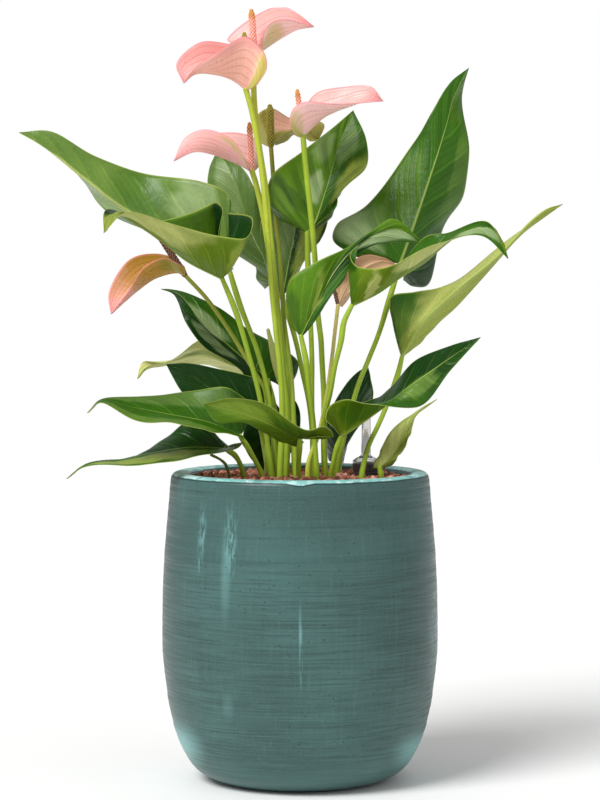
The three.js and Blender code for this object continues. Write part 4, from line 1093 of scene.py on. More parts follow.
class Finish(Tree):
    """A new material with one Principled shader, the place on a blade or tube, and object coordinates."""

    def __init__(self, name):
        self.material = bpy.data.materials.new(name)
        self.material.use_nodes = True
        self.material.node_tree.nodes.clear()
        super().__init__(self.material.node_tree)
        self.shader = self.add("ShaderNodeBsdfPrincipled")
        self.add("ShaderNodeOutputMaterial", {"Surface": self.shader.outputs[0]})
        self.place = self.add("ShaderNodeUVMap", uv_map="place").outputs[0]
        self.where = self.add("ShaderNodeTexCoord").outputs["Object"]

    def speckle(self, scale, size):
        """A mask of small scattered spots over the whole object."""
        return self.group("Specks", {"Vector": self.where, "Scale": scale, "Size": size})[0]

    def done(self, base, roughness, height=None, distance=0, **constants):
        """Feeds the shader its colour, roughness, relief and plain numbers, and gives the material."""
        inputs = {"Base Color": base, "Roughness": roughness}
        if height is not None:
            bump = self.add("ShaderNodeBump", {"Height": height, "Distance": distance, "Strength": 1.0})
            inputs["Normal"] = bump.outputs[0]
        inputs.update((name.replace("_", " "), value) for name, value in constants.items())
        self.feed(self.shader, inputs)
        return self.material


def shaded(shade, factor):
    """A colour made darker or lighter."""
    return tuple(min(1, factor * c) for c in shade)


def chosen(settings, keys):
    """The colours of the settings that these keys name."""
    return [tuple(getattr(settings, key)) for key in keys]


def new_group(name, inputs, outputs):
    """A shader node group with these sockets: (tree, sockets given, output node)."""
    tree = bpy.data.node_groups.new(name, "ShaderNodeTree")
    for label, kind in inputs.items():
        tree.interface.new_socket(name=label, in_out="INPUT", socket_type="NodeSocket" + kind)
    for label in outputs:
        tree.interface.new_socket(name=label, in_out="OUTPUT", socket_type="NodeSocketFloat")
    return Tree(tree), tree.nodes.new("NodeGroupInput").outputs, tree.nodes.new("NodeGroupOutput")


def leaf_veins(name):
    """Masks of a leaf's side veins, rib, margin and two halves, and of the lit and shaded sides of the swells
    between the veins, for painted highlight and painted shade.
    """
    labels = ("Vein", "Fine vein", "Rib", "Margin", "Side", "Lit side", "Dark side")
    tree, given, put = new_group(name, {"Place": "Vector", "Wander": "Float"}, labels)
    share, across, _ = tree.axes(given["Place"])
    out = tree.math("ABSOLUTE", across)
    row = tree.math("SUBTRACT", share, tree.times(out, VEIN_BEND))
    row = tree.math("ADD", row, tree.times(given["Wander"], VEIN_WANDER))
    fade = tree.times(tree.span(out, 0.0, 0.06), tree.span(out, 0.97, 0.6))
    swell = tree.math("SINE", tree.times(row, 2 * math.pi * LEAF_VEINS))
    swell = tree.times(swell, tree.times(tree.span(out, 0.02, 0.3), tree.span(out, 1, 0.7)))
    rib_half = tree.math("MULTIPLY_ADD", share, -0.018, 0.042)
    tree.feed(put, {
        "Vein": tree.times(tree.lines(row, LEAF_VEINS, 26), fade),
        "Fine vein": tree.times(tree.lines(row, LEAF_VEINS * 4, 6), fade),
        "Rib": tree.span(out, rib_half, 0.008),
        "Margin": tree.span(out, 0.972, 0.992),
        "Side": tree.span(across, -0.06, 0.06),
        "Lit side": tree.math("MAXIMUM", swell, 0),
        "Dark side": tree.math("MAXIMUM", tree.times(swell, -1), 0),
    })
    return tree.tree


def spathe_veins(name):
    """Masks of a spathe's lengthwise veins and margin."""
    labels = ("Vein", "Fine vein", "Margin")
    tree, given, put = new_group(name, {"Place": "Vector", "Wander": "Float"}, labels)
    share, across, _ = tree.axes(given["Place"])
    out = tree.math("ABSOLUTE", across)
    row = tree.math("ADD", out, tree.times(given["Wander"], VEIN_WANDER))
    long_veins, cross_veins = (
        tree.lines(tree.math("SUBTRACT", value, VEIN_SHIFT), count, sharpness)
        for value, count, sharpness in ((row, SPATHE_VEINS, 14), (share, 38, 5))
    )
    fade = tree.span(out, 0.98, 0.7)
    tree.feed(put, {
        "Vein": tree.times(long_veins, fade),
        "Fine vein": tree.times(cross_veins, fade),
        "Margin": tree.span(out, 0.93, 0.99),
    })
    return tree.tree


def specks(name):
    """A mask of small scattered spots."""
    tree, given, put = new_group(name, {"Vector": "Vector", "Scale": "Float", "Size": "Float"}, ("Mask",))
    cells = tree.add("ShaderNodeTexVoronoi", {"Vector": given["Vector"], "Scale": given["Scale"]}).outputs
    near = tree.math("LESS_THAN", cells["Distance"], given["Size"])
    picked = tree.add("ShaderNodeSeparateColor", {0: cells["Color"]}).outputs[0]
    tree.feed(put, {"Mask": tree.times(near, tree.math("GREATER_THAN", picked, 0.72))})
    return tree.tree


def patch(name):
    """A soft round mask at a place, stretched by a size for each axis."""
    sockets = {"Vector": "Vector", "Centre": "Vector", "Size": "Vector", "Core": "Float"}
    tree, given, put = new_group(name, sockets, ("Mask",))
    away = tree.vector("SUBTRACT", given["Vector"], given["Centre"])
    far = tree.vector("LENGTH", tree.vector("DIVIDE", away, given["Size"]))
    tree.feed(put, {"Mask": tree.span(far, 1.0, given["Core"])})
    return tree.tree


GROUPS = {"Leaf veins": leaf_veins, "Spathe veins": spathe_veins, "Specks": specks, "Patch": patch}


def leaf_finish(name, face, right, left, settings, gloss, shine):
    """Green blade with side veins, a pale rib and a thin pale margin, with painted highlights and painted
    shade on its vein swells and patches.
    """
    tree = Finish(name + "_" + face)
    raised, vein_strength = (1.0, 0.35) if face == "under" else (-1.0, 0.25)
    masks = tree.group("Leaf veins", {"Place": tree.place, "Wander": tree.noise(tree.where, 30)})
    clouds = tree.noise(tree.where, 16, 4)
    cells = tree.noise(tree.where, 420, 2)
    base = tree.mix(masks["Side"], left, right)
    base = tree.mix(tree.span(clouds, 0.35, 0.7, 0, 0.4), base, shaded(left, 0.6))
    # Patches of painted highlight, painted reflection and painted shade on the blades
    base = patched(tree, base, clouds, face, LEAF_PATCHES.get(name, ()), settings)
    # A lighter copy of the colour for fine pale flecks and the painted highlight on the lit side of each
    # swell, and a darker copy for the painted shade on the other side
    lighter = tree.tinted(base, (1.7, 1.5, 1.6))
    darker = tree.tinted(base, (0.4, 0.45, 0.4))
    vein_shade = tree.mix(0.25, tree.tinted(base, (2.4, 2.0, 2.2)), settings.vein)
    base = tree.layers(
        base,
        (tree.span(cells, 0.3, 0.75, 0, 0.25), lighter),
        (tree.times(masks["Lit side"], shine), lighter),
        (tree.times(masks["Dark side"], shine), darker),
        (tree.times(masks["Fine vein"], 0.12), vein_shade),
        (tree.times(masks["Vein"], vein_strength), vein_shade),
        (tree.times(masks["Rib"], 0.8), settings.rib),
        (tree.times(masks["Margin"], 0.6), settings.margin),
    )
    height = tree.math("MULTIPLY_ADD", masks["Vein"], raised, tree.times(cells, 0.35))
    height = tree.math("MULTIPLY_ADD", masks["Fine vein"], 0.35 * raised, height)
    height = tree.math("MULTIPLY_ADD", tree.noise(tree.where, 130, 2), 1.6, height)
    rough = tree.span(clouds, 0.3, 0.7, gloss, gloss + 0.12)
    return tree.done(base, rough, height, 0.0003, Specular_IOR_Level=0.2)


def patched(tree, base, clouds, face, patches, settings):
    """The colour with the lighter and darker places of one face laid over it; on the blades most are painted
    highlights, painted reflections and painted shade.
    """
    stir = tree.vector("MULTIPLY", tree.place, (18, 7, 1))
    stir = tree.add("ShaderNodeTexNoise", {"Vector": stir, "Scale": 0.5, "Detail": 1.5}).outputs["Color"]
    stir = tree.vector("MULTIPLY", tree.vector("SUBTRACT", stir, (0.5, 0.5, 0.5)), (0.08, 0.4, 0))
    place = tree.vector("ADD", tree.place, stir)
    for patch_face, share, out, share_size, out_size, shade, strength in patches:
        if patch_face == face:
            spot = tree.blot(place, (share, out, 0), (share_size, out_size, 1), PATCH_CORE)
            spot = tree.times(spot, tree.span(clouds, 0.2, 0.6, 0.75 * strength, strength))
            base = tree.mix(spot, base, getattr(settings, shade))
    return base


def edge_finish(name, shade):
    """The cut edge of a blade."""
    tree = Finish(name)
    return tree.done(tree.mix(tree.noise(tree.where, 60), shade, shaded(shade, 0.7)), 0.5)


def stem_finish(name, foot, top):
    """Stalk or petiole: fine lengthwise lines, small pale and brown spots."""
    tree = Finish(name)
    lines = tree.noise(tree.place, 1, 2, stretch=(6, 46, 1))
    clouds = tree.noise(tree.where, 45, 3)
    spots = tree.speckle(260.0, 0.22)
    base = tree.layers(
        tree.mix(tree.span(tree.tone(), 0.05, 0.9), foot, top),
        (tree.span(lines, 0.4, 0.7, 0, 0.4), shaded(foot, 0.62)),
        (tree.span(clouds, 0.5, 0.8, 0, 0.4), shaded(top, 1.45)),
        (tree.times(spots, 0.35), srgb(116, 96, 50)),
    )
    rough = tree.span(lines, 0.3, 0.7, 0.38, 0.5)
    return tree.done(base, rough, lines, 0.0001, Specular_IOR_Level=0.3)


def spathe_finish(name, face, foot, top, settings, turns):
    """Satin spathe that changes colour from its base to its tip, with lengthwise veins."""
    tree = Finish(f"spathe_{name}_{face}")
    masks = tree.group("Spathe veins", {"Place": tree.place, "Wander": tree.noise(tree.where, 24)})
    clouds = tree.noise(tree.where, 40, 4)
    reach = tree.math("ADD", tree.axes(tree.place)[0], tree.math("MULTIPLY_ADD", clouds, 0.2, -0.1))
    body = tree.span(reach, *turns)
    base = tree.mix(body, foot, top)
    base = tree.mix(tree.times(tree.span(clouds, 0.4, 0.75, 0, 0.4), body), base, shaded(top, 1.15))
    base = patched(tree, base, clouds, face, SPATHE_PATCHES.get(name, ()), settings)
    vein_shade = tree.tinted(base, (0.72, 0.55, 0.5))
    tip = tree.times(tree.span(reach, 0.8, 1.02), 0.5)
    spots = tree.speckle(160.0, 0.12)
    base = tree.layers(
        base,
        (tree.times(masks["Vein"], 0.6), vein_shade),
        (tree.times(masks["Fine vein"], 0.15), vein_shade),
        (tree.math("MAXIMUM", tree.times(masks["Margin"], 0.6), tip),
         getattr(settings, SPATHE_RIMS.get(name, "blush"))),
        (tree.times(spots, 0.35), srgb(150, 70, 60)),
    )
    height = tree.math("MULTIPLY_ADD", masks["Vein"], -1.0, tree.times(masks["Fine vein"], -0.3))
    rough = tree.span(clouds, 0.3, 0.7, 0.42, 0.55)
    return tree.done(base, rough, height, 0.0002, Subsurface_Weight=0.15, Subsurface_Scale=0.002)


def spadix_finish(name, foot, top, depth):
    """Spadix: packed florets, with painted highlights on their crowns and painted shade between them."""
    tree = Finish(name)
    base = tree.mix(tree.span(tree.axes(tree.place)[0], 0.7, 0.92), foot, top)
    # Shaded and lit copies of the colour: painted shade in the gaps, painted highlight on the crowns
    gaps = tree.tinted(base, (0.34, 0.16, 0.1), depth)
    crowns = tree.tinted(base, (1.45, 1.4, 1.5))
    base = tree.mix(tree.span(tree.tone(), 0.2, 0.62), gaps, crowns)
    base = tree.mix(tree.span(tree.noise(tree.where, 300), 0.4, 0.7, 0, 0.3), base, shaded(top, 1.3))
    return tree.done(base, 0.6, tree.noise(tree.where, 900, 2), 0.0002)


def pot_finish(settings):
    """Satin glaze: brushed level lines, runs, pits, a pale lip and a few pale patches; painted reflections
    lighten the foot and painted shade darkens the sides.
    """
    tree = Finish("teal_glaze")
    where = tree.where
    x, y, up = tree.axes(where)
    radius = tree.vector("LENGTH", tree.add("ShaderNodeCombineXYZ", {0: x, 1: y, 2: 0.0}).outputs[0])
    fine = tree.noise(where, 1, 5, stretch=(17, 17, 600))
    broad = tree.noise(where, 1, 4, stretch=(5, 5, 170))
    cloud = tree.noise(where, 9, 5)
    runs = tree.noise(where, 1, 3, stretch=(260, 260, 14))
    dashes = tree.noise(where, 1, 3, stretch=(420, 420, 70))
    strokes = tree.span(up, 0.25, 0.2, 0.3, 1)
    glaze, dark, light, lip_shade, inside = chosen(
        settings, ("glaze", "glaze_dark", "glaze_light", "lip", "inside"))
    base = tree.layers(
        glaze,
        (tree.span(cloud, 0.35, 0.7, 0, 0.4), light),
        (tree.times(tree.span(fine, 0.5, 0.64, 0, 0.6), strokes), dark),
        (tree.span(broad, 0.5, 0.72, 0, 0.4), dark),
        (tree.times(tree.span(fine, 0.46, 0.34, 0, 0.3), strokes), light),
        (tree.span(tree.noise(where, 700, 3), 0.4, 0.7, 0, 0.25), light),
        (tree.span(runs, 0.55, 0.78, 0, 0.3), light),
        (tree.span(runs, 0.45, 0.25, 0, 0.2), dark),
    )
    # Patches from the table: pale glaze, painted reflections at the foot and painted shade at the sides
    for centre, size, shade, strength, kind in POT_PATCHES:
        spot = tree.blot(where, centre, size)
        spot = tree.times(spot, strength)
        if kind == "brushed":
            spot = tree.times(spot, tree.span(dashes, 0.44, 0.6))
        base = tree.mix(spot, base, getattr(settings, shade))
    pits = tree.speckle(210.0, 0.15)
    pits = tree.times(pits, tree.span(cloud, 0.45, 0.55))
    dip = tree.blot(where, LIP_DIP, LIP_DIP_SIZE)
    rim_height = tree.math("ADD", up, tree.math("MULTIPLY_ADD", tree.noise(where, 60, 2), 0.0016, -0.0008))
    # Painted highlight: the pale lip and its dark line reach lower at the front
    rim_height = tree.math("ADD", rim_height, tree.times(dip, 0.002))
    line = tree.times(tree.span(rim_height, 0.3052, 0.306), tree.span(rim_height, 0.3072, 0.3066, 0, 0.7))
    lip = tree.span(rim_height, 0.3068, 0.3076)
    base = tree.layers(
        base,
        (tree.times(pits, 0.7), shaded(dark, 0.3)),
        (tree.times(tree.span(radius, 0.1272, 0.1242), tree.span(up, 0.06, 0.1)), inside),
        # Painted reflection of the floor: the glaze grows lighter towards the foot
        (tree.times(tree.span(up, 0.05, 0.0), 0.6), light),
        (line, shaded(dark, 0.5)),
        (lip, lip_shade),
        (tree.times(tree.span(tree.noise(where, 90, 3), 0.5, 0.62, 0, 0.5), lip), LIP_WHITE),
        (tree.times(tree.span(tree.noise(where, 55, 3), 0.52, 0.66, 0, 0.5), lip), inside),
    )
    height = tree.math("MULTIPLY_ADD", fine, 0.7, tree.times(broad, 0.8))
    height = tree.math("SUBTRACT", height, pits)
    return tree.done(base, tree.span(fine, 0.3, 0.7, 0.34, 0.5), height, 0.0003,
                     Specular_IOR_Level=0.2, Coat_Weight=0.15, Coat_Roughness=0.2)


def clay_finish(settings):
    """Matt fired clay, each granule in its own tone, pitted, with painted shade in the gaps between the
    granules.
    """
    tree = Finish("fired_clay")
    tone = tree.tone()
    pores = tree.noise(tree.where, 900, 3)
    # Painted shade in the gaps, fading out with height above the bed
    gaps = tree.span(tree.axes(tree.where)[2], BED_TOP * MM, (BED_TOP + GAP_RISE) * MM, 0.9, 0)
    base = tree.layers(
        settings.clay_dark,
        (tree.span(tone, 0.0, 0.55), settings.clay),
        (tree.span(tone, 0.65, 1.0), settings.clay_light),
        (tree.span(pores, 0.45, 0.7, 0, 0.5), shaded(settings.clay_dark, 0.6)),
        (gaps, shaded(settings.clay_dark, 0.25)),
    )
    return tree.done(base, 0.85, pores, 0.0004)


def plastic_finish(name, shade, gloss):
    """Moulded plastic with a faint texture and fine scratches."""
    tree = Finish(name)
    clouds = tree.noise(tree.where, 120, 3)
    scratches = tree.noise(tree.where, 1, 2, stretch=(900, 900, 40))
    base = tree.mix(tree.span(clouds, 0.3, 0.7), shade, shaded(shade, 1.3))
    return tree.done(base, tree.span(scratches, 0.3, 0.7, gloss, gloss + 0.15), scratches, 0.00004)


def clear_finish(settings):
    """Clear plastic with a slightly uneven gloss."""
    tree = Finish("clear_plastic")
    clouds = tree.noise(tree.where, 150, 3)
    base = tree.mix(clouds, settings.clear, shaded(settings.clear, 0.85))
    return tree.done(base, tree.span(clouds, 0.3, 0.7, 0.02, 0.06), Transmission_Weight=1.0, IOR=1.12)


def floor_finish(settings):
    """Pale floor, a touch uneven."""
    tree = Finish("floor")
    clouds = tree.noise(tree.where, 3, 2)
    return tree.done(tree.mix(clouds, settings.floor, shaded(settings.floor, 0.98)), 0.6)


def shared(name, make):
    """A material that several pieces use, made once."""
    return bpy.data.materials.get(name) or make()


# Pieces


class FLOWER_OT_pot(bpy.types.Operator):
    """Turn the glazed pot"""

    bl_idname = "flower.make_pot"
    bl_label = "Pot"

    def execute(self, context):
        settings = context.scene.flower_pot
        randoms = np.random.RandomState(5)
        wall = spline(POT_OUTER, np.linspace(0, 1, WALL_STEPS + 1))
        ridges = np.convolve(randoms.randn(len(wall) + len(RIDGE_BLEND) - 1), RIDGE_BLEND, "valid")
        fade = np.clip((wall[:, 1] - 6) / 20, 0, 1)
        wall[:, 0] += ridges * fade * settings.line_height / MM
        lip = spline([POT_OUTER[-1], *POT_LIP, *POT_INNER], np.linspace(0, 1, LIP_STEPS + 1))
        foot = [[0, 0], [30, 0], [60, 0]]
        shape = Shape()
        turned(shape, [*foot, *wall, *lip[1:], [30, POT_FLOOR], [0, POT_FLOOR]], POT_SIDES)
        shape.make("glazed_pot", [pot_finish(settings)], "teal_glaze", replaces=["pot"])
        return {"FINISHED"}


def stem_roots():
    """Where each stem goes into the granules, in millimetres."""
    stems = [*LEAVES, *BLOOMS, YOUNG_LEAF, DRY_STALK]
    return np.array([[stem["root"][0], stem["root"][1] * DEPTH_SPREAD] for stem in stems])


def ball():
    """Corners and faces of a rough ball of radius 1."""
    golden = (1 + math.sqrt(5)) / 2
    points = []
    for a, b in ((1, golden), (-1, golden), (1, -golden), (-1, -golden)):
        points += [(0, a, b), (a, b, 0), (b, 0, a)]
    points = [np.array(p) / math.hypot(1, golden) for p in points]
    near = 1.06
    count = len(points)
    pairs = [(i, j) for i in range(count) for j in range(i) if np.linalg.norm(points[i] - points[j]) < near]
    middle = {}
    for i, j in pairs:
        middle[i, j] = middle[j, i] = len(points)
        halfway = points[i] + points[j]
        points.append(halfway / np.linalg.norm(halfway))
    faces = []
    for i, j in pairs:
        for k in range(j):
            if (j, k) in middle and (i, k) in middle:
                outward = np.dot(np.cross(points[j] - points[i], points[k] - points[i]), points[i]) > 0
                a, b, c = (i, j, k) if outward else (i, k, j)
                ab, bc, ca = middle[a, b], middle[b, c], middle[c, a]
                faces += [(a, ab, ca), (b, bc, ab), (c, ca, bc), (ab, bc, ca)]
    return np.array(points), faces


class FLOWER_OT_bed(bpy.types.Operator):
    """Fill the pot with clay granules"""

    bl_idname = "flower.make_bed"
    bl_label = "Clay granules"

    def execute(self, context):
        settings = context.scene.flower_bed
        randoms = np.random.RandomState(11)
        radius = settings.grain / MM / 2
        roots = stem_roots()
        points, faces = ball()
        places = [[(0, 0)] * 3] * len(faces)
        shape = Shape()

        def clear(place, ball_radius):
            apart = np.linalg.norm(roots - place, axis=1).min() > STEM_CLEAR + 0.75 * ball_radius
            off_gauge = np.linalg.norm(place - GAUGE_PLACE) > GAUGE_RADIUS + 0.9 * ball_radius
            return apart and off_gauge and np.linalg.norm(place) < BED_RADIUS - 0.8 * ball_radius

        def drop(place, height, ball_radius):
            turn, _ = np.linalg.qr(randoms.randn(3, 3))
            if np.linalg.det(turn) < 0:
                turn[:, 0] *= -1
            stretch = np.diag(randoms.uniform(*GRAIN_SQUASH, 3)) * ball_radius
            rough = points * (1 + 0.05 * randoms.randn(len(points), 1))
            where = rough @ stretch @ turn.T + [*place, height]
            shape.add(where, [randoms.uniform()] * len(where), faces, places, 0)

        pitch = 2 * radius * 0.98
        count = int(BED_RADIUS / pitch) + 2
        for row in range(-count, count + 1):
            for column in range(-count, count + 1):
                place = np.array([(column + (row % 2) / 2) * pitch, row * pitch * 0.87])
                place = place + randoms.uniform(-0.22, 0.22, 2) * pitch
                size = radius * randoms.uniform(*GRAIN_SIZES)
                height = BED_TOP + randoms.uniform(-0.4, 1.5)
                if clear(place, size):
                    drop(place, height, size)
        for _ in range(LOOSE_GRAINS):
            angle, away = randoms.uniform(0, 2 * math.pi), BED_RADIUS * math.sqrt(randoms.uniform())
            place = away * np.array([math.cos(angle), math.sin(angle)])
            size = radius * randoms.uniform(*LOOSE_SIZES)
            if clear(place, size):
                drop(place, BED_TOP + radius + randoms.uniform(0.2, 1.2), size)
        turned(shape, bed_outline(), 96)
        shape.make("clay_granules", [clay_finish(settings)], "clay_granules", replaces=["granule_bed"])
        return {"FINISHED"}


def bed_outline():
    """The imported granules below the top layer, a little clear of the inner wall."""
    inner = spline(POT_INNER, np.linspace(1, 0, 40)) + [-0.5, 0.4]
    top = BED_TOP - 1.2
    return [[0, POT_FLOOR + 0.4], *inner, [BED_RADIUS - 0.4, top], [40, top], [0, top]]


class FLOWER_OT_gauge(bpy.types.Operator):
    """Make the water gauge: body, clear tube, marks and float"""

    bl_idname = "flower.make_gauge"
    bl_label = "Water gauge"

    def execute(self, context):
        settings = context.scene.flower_gauge
        floor = GAUGE_FOOT + 3
        plastic = plastic_finish("dark_plastic", settings.body, 0.25)
        outline = housing_outline(floor)
        housing = gauge_piece("gauge_housing", outline, 96, plastic, "dark_plastic", "gauge_body")
        cut_slots(housing, floor)
        seat = GAUGE_TOP + GAUGE_GAP
        tube = gauge_piece("gauge_tube", dome_outline(seat), 72, clear_finish(settings), "clear_plastic",
                           "gauge_dome")
        marks = Shape()
        for height, half in TICKS:
            add_tick(marks, height, half)
        marks.make("gauge_marks", [plastic_finish("mark_paint", settings.tick, 0.5)], "float_plastic")
        plastic = plastic_finish("float_plastic", settings.floater, 0.35)
        outline = float_outline(floor + GAUGE_GAP)
        floater = gauge_piece("gauge_floater", outline, 48, plastic, "float_plastic", "gauge_float",
                              body=FLOAT_BODY)
        for piece in (housing, tube, floater):
            piece.data.set_sharp_from_angle(angle=CREASE_ANGLE)
        return {"FINISHED"}


def gauge_piece(name, outline, sides, material, slot, node, body=PLANTER):
    """Makes a piece turned round the gauge's axis."""
    shape = Shape()
    turned(shape, outline, sides, GAUGE_PLACE)
    return shape.make(name, [material], slot, body=body, replaces=[node])


def housing_outline(floor):
    """The gauge's body: a tube with a shallow groove near its top and a closed foot."""
    wall, groove = GAUGE_RADIUS, GAUGE_RADIUS - 0.35
    return [
        [0, GAUGE_FOOT], [wall - 0.6, GAUGE_FOOT], [wall, GAUGE_FOOT + 0.6], [wall, GAUGE_TOP - 9],
        [groove, GAUGE_TOP - 8.6], [groove, GAUGE_TOP - 7.4], [wall, GAUGE_TOP - 7], [wall, GAUGE_TOP - 0.4],
        [wall - 0.4, GAUGE_TOP], [GAUGE_BORE, GAUGE_TOP], [GAUGE_BORE, floor], [0, floor],
    ]


def dome_outline(seat):
    """The clear dome: a rim, a shoulder that sweeps up to the narrow tube, and the bore inside."""
    rim, tube = GAUGE_RADIUS - 0.2, TUBE_RADIUS
    shoulder = [[rim - 0.5, seat + 2.8], [9.6, seat + 5], [tube + 0.6, seat + 7.6], [tube + 0.2, seat + 11]]
    return [
        [rim, seat], [rim, seat + 2.2], shoulder[0], *spline(shoulder, np.linspace(0.08, 1, 14)),
        [tube, DOME_TOP - 2], [tube - 0.5, DOME_TOP - 0.6], [tube - 1.6, DOME_TOP], [0, DOME_TOP],
        [0, DOME_TOP - 1.2], [tube - 1.1, DOME_TOP - 2.4], [tube - 0.9, seat + 8.6],
        [GAUGE_BORE, seat + 1.4], [GAUGE_BORE, seat], [rim, seat],
    ]


def float_outline(rest):
    """The float: its body, its thin rod and the tip that shows in the tube."""
    top = rest + FLOAT_LENGTH
    return [
        [0, rest], [FLOAT_RADIUS - 1, rest], [FLOAT_RADIUS, rest + 1], [FLOAT_RADIUS, top - 1],
        [FLOAT_RADIUS - 1, top], [ROD_RADIUS, top], [ROD_RADIUS, TIP_TOP - 6.5], [TIP_RADIUS, TIP_TOP - 5.5],
        [TIP_RADIUS, TIP_TOP - 1.5], [TIP_RADIUS * 0.7, TIP_TOP - 0.4], [0, TIP_TOP],
    ]


def add_tick(shape, height, half):
    """Adds a printed line on the front of the tube."""
    radius = TUBE_RADIUS + 0.05
    angles = -math.pi / 2 + np.linspace(-half, half, 9) / radius
    rows = []
    for away, up in TICK_OUTLINE:
        reach = radius + away
        rows.append([
            [GAUGE_PLACE[0] + reach * math.cos(a), GAUGE_PLACE[1] + reach * math.sin(a), height + up]
            for a in angles
        ])
    points = np.array(rows)
    places = np.zeros((*points.shape[:2], 2))
    shape.grid(points, np.zeros(points.shape[:2]), places, 0, flip=True)
    for column, order in ((0, (0, 1, 2, 3, 4)), (len(angles) - 1, (4, 3, 2, 1, 0))):
        ends = points[list(order), column]
        shape.add(ends, [0] * 5, [tuple(range(5))], [[(0, 0)] * 5], 0)


def cut_slots(piece, floor):
    """Cuts the two water slots through the foot of the gauge's body."""
    slot_length, slot_width, slot_height = 2 * GAUGE_RADIUS + 2, 3, 14
    centre = (*GAUGE_PLACE, floor + slot_height)
    corners = [(x, y, z) for x in (-0.5, 0.5) for y in (-0.5, 0.5) for z in (-0.5, 0.5)]
    faces = [(0, 1, 3, 2), (4, 6, 7, 5), (0, 4, 5, 1), (2, 3, 7, 6), (0, 2, 6, 4), (1, 5, 7, 3)]
    for size in ((slot_length, slot_width, slot_height), (slot_width, slot_length, slot_height)):
        mesh = bpy.data.meshes.new("slot")
        points = [[(centre[k] + corner[k] * size[k]) * MM for k in range(3)] for corner in corners]
        mesh.from_pydata(points, [], faces)
        cutter = bpy.data.objects.new("slot", mesh)
        bpy.context.scene.collection.objects.link(cutter)
        modifier = piece.modifiers.new("slot", "BOOLEAN")
        modifier.operation = "DIFFERENCE"
        modifier.solver = "EXACT"
        modifier.object = cutter
        bpy.context.view_layer.update()
        done = bpy.data.meshes.new_from_object(piece.evaluated_get(bpy.context.evaluated_depsgraph_get()))
        piece.modifiers.clear()
        piece.data = done
        bpy.data.objects.remove(cutter)


class FLOWER_OT_leaves(bpy.types.Operator):
    """Grow the opened leaves, each with its petiole"""

    bl_idname = "flower.make_leaves"
    bl_label = "Leaves"

    def execute(self, context):
        settings = context.scene.flower_leaves
        blooms = context.scene.flower_blooms
        shares = np.linspace(0, 1, PETIOLE_RINGS)
        for number, leaf in enumerate(LEAVES):
            name = leaf["name"]
            shape = Shape()
            relief = leaf_relief(settings, (number * LEAF_PHASE) % 1)
            add_blade(shape, leaf, leaf.get("camber", LEAF_CAMBER), relief, *LEAF_RIB)
            path = stem_path(leaf["root"], leaf["stem"], leaf["rib"][0])
            swept(shape, path, shares, spline(PETIOLE_RADIUS, shares), TUBE_SIDES, finish=3)
            slot = "leaf_pale" if leaf["look"] == "pale" else "leaf_green"
            shape.make("blade_" + name, leaf_materials(name, settings, blooms), slot, replaces=[name])
        return {"FINISHED"}


def leaf_materials(name, settings, blooms):
    """A leaf's finishes: upper face, under face, edge and petiole."""
    right, left = chosen(settings, LEAF_GREENS[name])
    under_right, under_left = chosen(settings, UNDER_GREENS.get(name, ("under", "under")))
    return [
        leaf_finish(name, "upper", right, left, settings, LEAF_GLOSS, LEAF_SHINE.get(name, USUAL_SHINE)),
        leaf_finish(name, "under", under_right, under_left, settings, UNDER_GLOSS, UNDER_SHINE),
        shared("leaf_edge", lambda: edge_finish("leaf_edge", settings.margin)),
        shared("petiole", lambda: stem_finish("petiole", blooms.stem, blooms.stem)),
    ]


class FLOWER_OT_shoots(bpy.types.Operator):
    """Add the rolled young leaf and the cut dry stalk"""

    bl_idname = "flower.make_shoots"
    bl_label = "Young leaf and dry stalk"

    def execute(self, context):
        leaves = context.scene.flower_leaves
        blooms = context.scene.flower_blooms
        shares = np.linspace(0, 1, YOUNG_RINGS)
        angles = 2 * math.pi * np.arange(YOUNG_SIDES) / YOUNG_SIDES
        roll = (angles[None, :] + 5 * shares[:, None]) % (2 * math.pi) / (2 * math.pi)
        depth = 0.14 * np.clip((shares - 0.5) * 4, 0, 1)[:, None]
        radii = spline(YOUNG_RADIUS, shares)[:, None] * (1 - depth * roll)
        shape = Shape()
        swept(shape, stem_path(**YOUNG_LEAF), shares, radii, YOUNG_SIDES)
        young = stem_finish("young_leaf", blooms.stem_pale, leaves.cream)
        shape.make("rolled_leaf", [young], "leaf_pale", replaces=["young_leaf"])

        shares = np.linspace(0, 1, DRY_RINGS)
        randoms = np.random.RandomState(3)
        radii = DRY_RADIUS * (1 + 0.12 * randoms.randn(len(shares), DRY_SIDES))
        shape = Shape()
        swept(shape, stem_path(**DRY_STALK), shares, radii, DRY_SIDES)
        dry = stem_finish("dry_stalk", blooms.bark, blooms.stem_brown)
        shape.make("cut_stalk", [dry], "dry_brown", replaces=["dry_stalk"])
        return {"FINISHED"}


class FLOWER_OT_blooms(bpy.types.Operator):
    """Grow the blooms: spathe, spadix and stalk of each"""

    bl_idname = "flower.make_blooms"
    bl_label = "Blooms"

    def execute(self, context):
        settings = context.scene.flower_blooms
        shares = np.linspace(0, 1, STALK_RINGS)
        for number, bloom in enumerate(BLOOMS):
            name = bloom["name"]
            add_spathe(bloom, settings, (number * SPATHE_PHASE) % 1)
            add_spadix(bloom, settings)
            path = stem_path(bloom["root"], bloom["stem"], bloom["rib"][0])
            slimmer = np.interp(shares, [0.1, 0.5], [1, STALK_SLIM.get(name, 1)])
            shape = Shape()
            swept(shape, path, shares, spline(STALK_RADIUS, shares) * slimmer, TUBE_SIDES)
            stalk = stem_finish("stem_" + name, *chosen(settings, STALK_SHADES[name]))
            shape.make("stem_" + name, [stalk], "stalk_green", replaces=["stalk_" + name])
        return {"FINISHED"}


